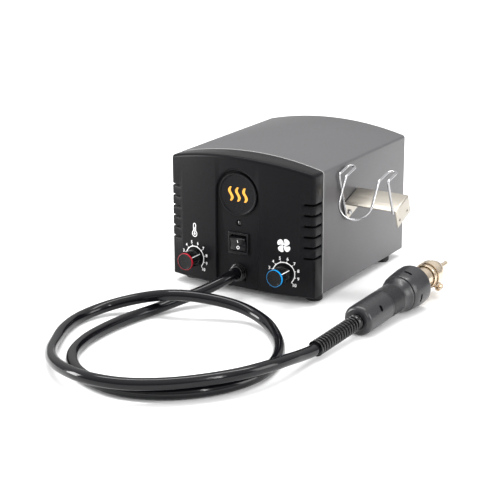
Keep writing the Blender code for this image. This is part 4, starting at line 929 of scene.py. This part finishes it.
def build_bracket():
    width = BRACKET_WIDTH - GAP
    fold, inside = 1.5, 1.5 - SHEET
    near, far = (fold, -fold), (width - fold, -fold)
    outer = arc(fold, math.pi, math.pi / 2, 8, near) + arc(fold, math.pi / 2, 0, 8, far)
    inner = arc(inside, 0, math.pi / 2, 8, far) + arc(inside, math.pi / 2, math.pi, 8, near)
    drop = -BRACKET_FLANGE
    outline = [(0, drop)] + outer + [(width, drop), (width - SHEET, drop)] + inner + [(SHEET, drop)]
    bm = bmesh.new()
    add_prism(bm, outline, 0, BRACKET_LENGTH, BRACKET)
    bracket = raw("side_bracket", bm, STAINLESS)
    bevel(bracket, 0.15, 60)
    bm = bmesh.new()
    for along in BRACKET_HOLES:
        for radius, x in ((1.8, 0), (1.3, width)):
            spot = BRACKET @ Matrix.Translation((x, along, -BRACKET_HOLE_DROP)) @ SIDEWAYS
            add_rod(bm, radius, -3, 3, 24, spot)
    shape(bracket, bm)
    place(bracket, "station", "stainless", ["holder_bracket"])
    for row, along in zip(("front", "rear"), BRACKET_HOLES):
        spot = bracket_screw_place(along)
        bm = bmesh.new()
        profile = [(0, -2), (1.4, -1.9), (2.1, -1.4), (2.4, -0.6), (2.4, 0), (1.5, 0), (1.5, 6), (0, 6)]
        add_turned(bm, profile, 32, spot)
        screw = raw(f"cross_screw_{row}", bm, ZINC)
        bm = bmesh.new()
        add_prism(bm, cross_outline(1.5, 0.25), -3, -1, spot)
        shape(screw, bm)
        place(screw, "station", "zinc_steel", [f"bracket_screw_{row}"])


def rounded(points, radius, steps=6):
    made = [points[0]]
    for before, corner, after in zip(points, points[1:], points[2:]):
        start = corner + (before - corner).normalized() * radius
        end = corner + (after - corner).normalized() * radius
        for i in range(steps + 1):
            t = i / steps
            made.append(start * (1 - t) ** 2 + corner * (2 * t * (1 - t)) + end * t ** 2)
    return made + [points[-1]]


def build_wire():
    stand = WIRE_RADIUS + GAP
    low = BRACKET @ Vector((0, -stand, -BRACKET_FLANGE + 1.5))
    corner = BRACKET @ Vector((0, -stand, 32.5))
    short = BRACKET @ Vector((0, -stand, -2))
    rise, lean, hook_length = math.radians(13), math.radians(30), 15
    hook_way = Vector((0, math.cos(rise), math.sin(rise)))
    saddle_way = Vector((0, -math.sin(lean), -math.cos(lean)))
    hook_radius = (POST_OFFSET - SADDLE_RADIUS) / 2
    saddle_top = corner + hook_way * -2
    half = [Vector((-POST_OFFSET, p.y, p.z)) for p in (low, corner, corner + hook_way * hook_length)]
    for x, along in arc(hook_radius, math.pi, 0, 14, (-POST_OFFSET + hook_radius, 0))[1:]:
        point = corner + hook_way * (hook_length + along)
        half.append(Vector((x, point.y, point.z)))
    half.append(Vector((-SADDLE_RADIUS, saddle_top.y, saddle_top.z)))
    straight = saddle_top + saddle_way * 21.5
    half.append(Vector((-SADDLE_RADIUS, straight.y, straight.z)))
    left = rounded(half[:3], 3)[:-1] + half[2:-3] + rounded(half[-3:], 3)
    bottom = []
    for x, sink in arc(SADDLE_RADIUS, math.pi, 2 * math.pi, 32)[1:-1]:
        point = straight + saddle_way * -sink
        bottom.append(Vector((x, point.y, point.z)))
    right = [Vector((-p.x, p.y, p.z)) for p in left[::-1]]
    right[-1] = Vector((POST_OFFSET, short.y, short.z))
    wire = [point + Vector((CRADLE_X, 0, 0)) for point in left + bottom + right]
    bm = bmesh.new()
    add_tube(bm, wire, WIRE_RADIUS, 16)
    place(raw("bent_wire", bm, CHROME), "station", "chrome", ["wire_cradle"], 50)


# ---------------------------------------------------------------- handpiece


def stadium(bm, half_long, half_wide, low, high, spot):
    """A long hole's cutter: length across Z, width across Y, from low to high along X."""
    outline = arc(half_wide, 0, math.pi, 8, (0, half_long - half_wide))
    outline += arc(half_wide, math.pi, 2 * math.pi, 8, (0, half_wide - half_long))
    add_loft(bm, [[(x, y, z) for y, z in outline] for x in (low, high)], spot)


def around_handpiece(turn):
    """The handpiece's frame, turned by so many degrees about its own line."""
    return HANDPIECE @ Matrix.Rotation(math.radians(-turn), 4, "Y")


def build_handpiece():
    bore = 11.2
    bm = bmesh.new()
    profile = [(7.3, 0), (9.3, 0)]
    profile += [(9.3 + 4.1 * math.sin(t), 4.6 * (1 - math.cos(t))) for t in quarter(10, 1)]
    profile += [(BARREL_RADIUS, 40), (13.2, 40.2), (bore, 40.2), (bore, 3), (7.3, 3)]
    add_turned(bm, profile, 96, HANDPIECE)
    barrel = raw("barrel_shell", bm, GREY)
    bm = bmesh.new()
    for turn in (30, 210):
        spot = around_handpiece(turn) @ Matrix.Translation((BARREL_RADIUS, 22.3, 0))
        stadium(bm, 3, 1.7, -4, 4, spot)
    shape(barrel, bm)
    place(barrel, "handpiece", "grey_plastic", ["handpiece_barrel"], 40)

    bm = bmesh.new()
    profile = [(13.1, 40.5), (13.3, 40.7), (13.3, 42)]
    y = 42.0
    while y < 60:
        profile += [(13.35, y), (12.95, y + 0.3), (12.95, y + 0.65), (13.35, y + 0.95)]
        y += 1.25
    flare = [(13.32, 61), (13.6, 63), (14.05, 65), (14.7, 67), (15.4, 68.6), (15.95, 69.8), (16.2, 70.7),
             (16.2, 71.3), (15.9, 71.7)]
    profile += flare + [(bore, 71.7), (bore, 40.5)]
    add_turned(bm, profile, 96, HANDPIECE)
    place(raw("ribbed_grip", bm, GREY), "handpiece", "grey_plastic", ["handpiece_grip"], 40)

    bm = bmesh.new()
    profile = [(16, 72), (16.5, 72.2), (16.9, 73), (17.5, 78), (18, 84), (COLLAR_RADIUS, FRONT_CONTACT),
               (COLLAR_RADIUS, 96)]
    profile += [(16.6 + 1.8 * math.cos(t), 96 + 3 * math.sin(t)) for t in quarter(8, 1)]
    profile += [(bore, 99), (bore, 72)]
    add_turned(bm, profile, 112, HANDPIECE)
    collar = raw("vented_collar", bm, GREY)
    bm = bmesh.new()
    for turn in (-13, 77, 167, 257):
        spot = around_handpiece(turn) @ Matrix.Translation((18, 82, 0))
        stadium(bm, 4, 1.25, -9, 4, spot)
    shape(collar, bm)
    place(collar, "handpiece", "grey_plastic", ["handpiece_collar"], 40)

    bm = bmesh.new()
    profile = [(9.6, 60), (9.6, 128), (8.9, 128), (8.9, 60)]
    add_turned(bm, soften(profile, 0.2), 80, HANDPIECE)
    place(raw("hot_tube", bm, NICKEL), "handpiece", "nickel", ["heater_tube"])

    bm = bmesh.new()
    profile = [(9.9, 120), (10.6, 119.8), (11, 120.3), (11, 133), (10.85, 134.6), (10.3, 137),
               (9.4, 139.3), (8.1, 141.3), (6.4, 142.9), (4.4, 144.2), (3, 144.9), (2.5, 145.6),
               (2.3, 146.6), (2.3, 159.8), (2.1, 160), (1.6, 160), (1.6, 145), (3.6, 143.2),
               (7, 140.7), (9.1, 137), (9.9, 133)]
    add_turned(bm, profile, 80, HANDPIECE)
    place(raw("hot_nozzle", bm, NICKEL), "nozzle_set", "nickel", ["nozzle"])


def build_clamp():
    ear = around_handpiece(-45)
    screw_x, screw_y = 14.8, 127.5
    band, outside, ear_end = 11.3, 12.2, 17.5
    inner, outer = math.asin(1 / band), math.asin(2 / outside)
    outline = arc(band, inner, 2 * math.pi - inner, 72) + [(ear_end, -1), (ear_end, -2)]
    outline += arc(outside, 2 * math.pi - outer, outer, 72) + [(ear_end, 2), (ear_end, 1)]
    bm = bmesh.new()
    add_prism(bm, outline, 124, 131, ear)
    clamp = raw("clamp_band", bm, NICKEL)
    spot = ear @ Matrix.Translation((screw_x, screw_y, 0)) @ UPRIGHT
    bm = bmesh.new()
    add_rod(bm, 1.8, -5, 5, 24, spot)
    for side in (-1, 1):
        for end in (-1, 1):
            corner = ear @ Matrix.Translation((ear_end, screw_y + end * 3.5, side * 1.5))
            corner = corner @ Matrix.Rotation(math.radians(45), 4, "Z")
            add_box(bm, (-1, -1, -1), (1, 1, 1), corner)
    shape(clamp, bm)
    place(clamp, "nozzle_set", "nickel", ["nozzle_clamp"])
    screw_place = ear @ Matrix.Translation((screw_x, screw_y, -2 - GAP)) @ UPRIGHT
    profile = [(0, -2), (1.4, -1.9), (2, -1.5), (2.3, -0.8), (2.3, 0), (1.5, 0)]
    y = 0.6
    while y < 6:
        profile += [(1.5, y), (1.25, y + 0.25)]
        y += 0.5
    profile += [(1.3, 6.4), (0, 6.5)]
    bm = bmesh.new()
    add_turned(bm, profile, 32, screw_place)
    screw = raw("nozzle_screw", bm, NICKEL)
    bm = bmesh.new()
    add_box(bm, (-3, -3, -0.3), (3, -1.2, 0.3), screw_place)
    shape(screw, bm)
    place(screw, "nozzle_screw", "nickel", ["clamp_screw"])


def build_floor():
    bm = bmesh.new()
    corners = ((-1, -1), (1, -1), (1, 1), (-1, 1))
    bm.faces.new([bm.verts.new((x * FLOOR_REACH, y * FLOOR_REACH, GROUND)) for x, y in corners])
    floor = raw("floor", bm, FLOOR)


for node, made in frame["nodes"].items():
    material = BY_SLOT[slots_of[node]]
    for slot in made.material_slots:
        slot.material = material

build_studio()
build_cover()
build_bezel()
build_badge()
build_lamp()
build_rocker()
build_print()
build_dial("temperature", -DIAL_X, "temperature_dial", RED, "red_plastic")
build_dial("airflow", DIAL_X, "airflow_dial", BLUE, "blue_plastic")
build_bushing()
build_feet()
build_bracket()
build_wire()
build_handpiece()
build_clamp()
build_floor()
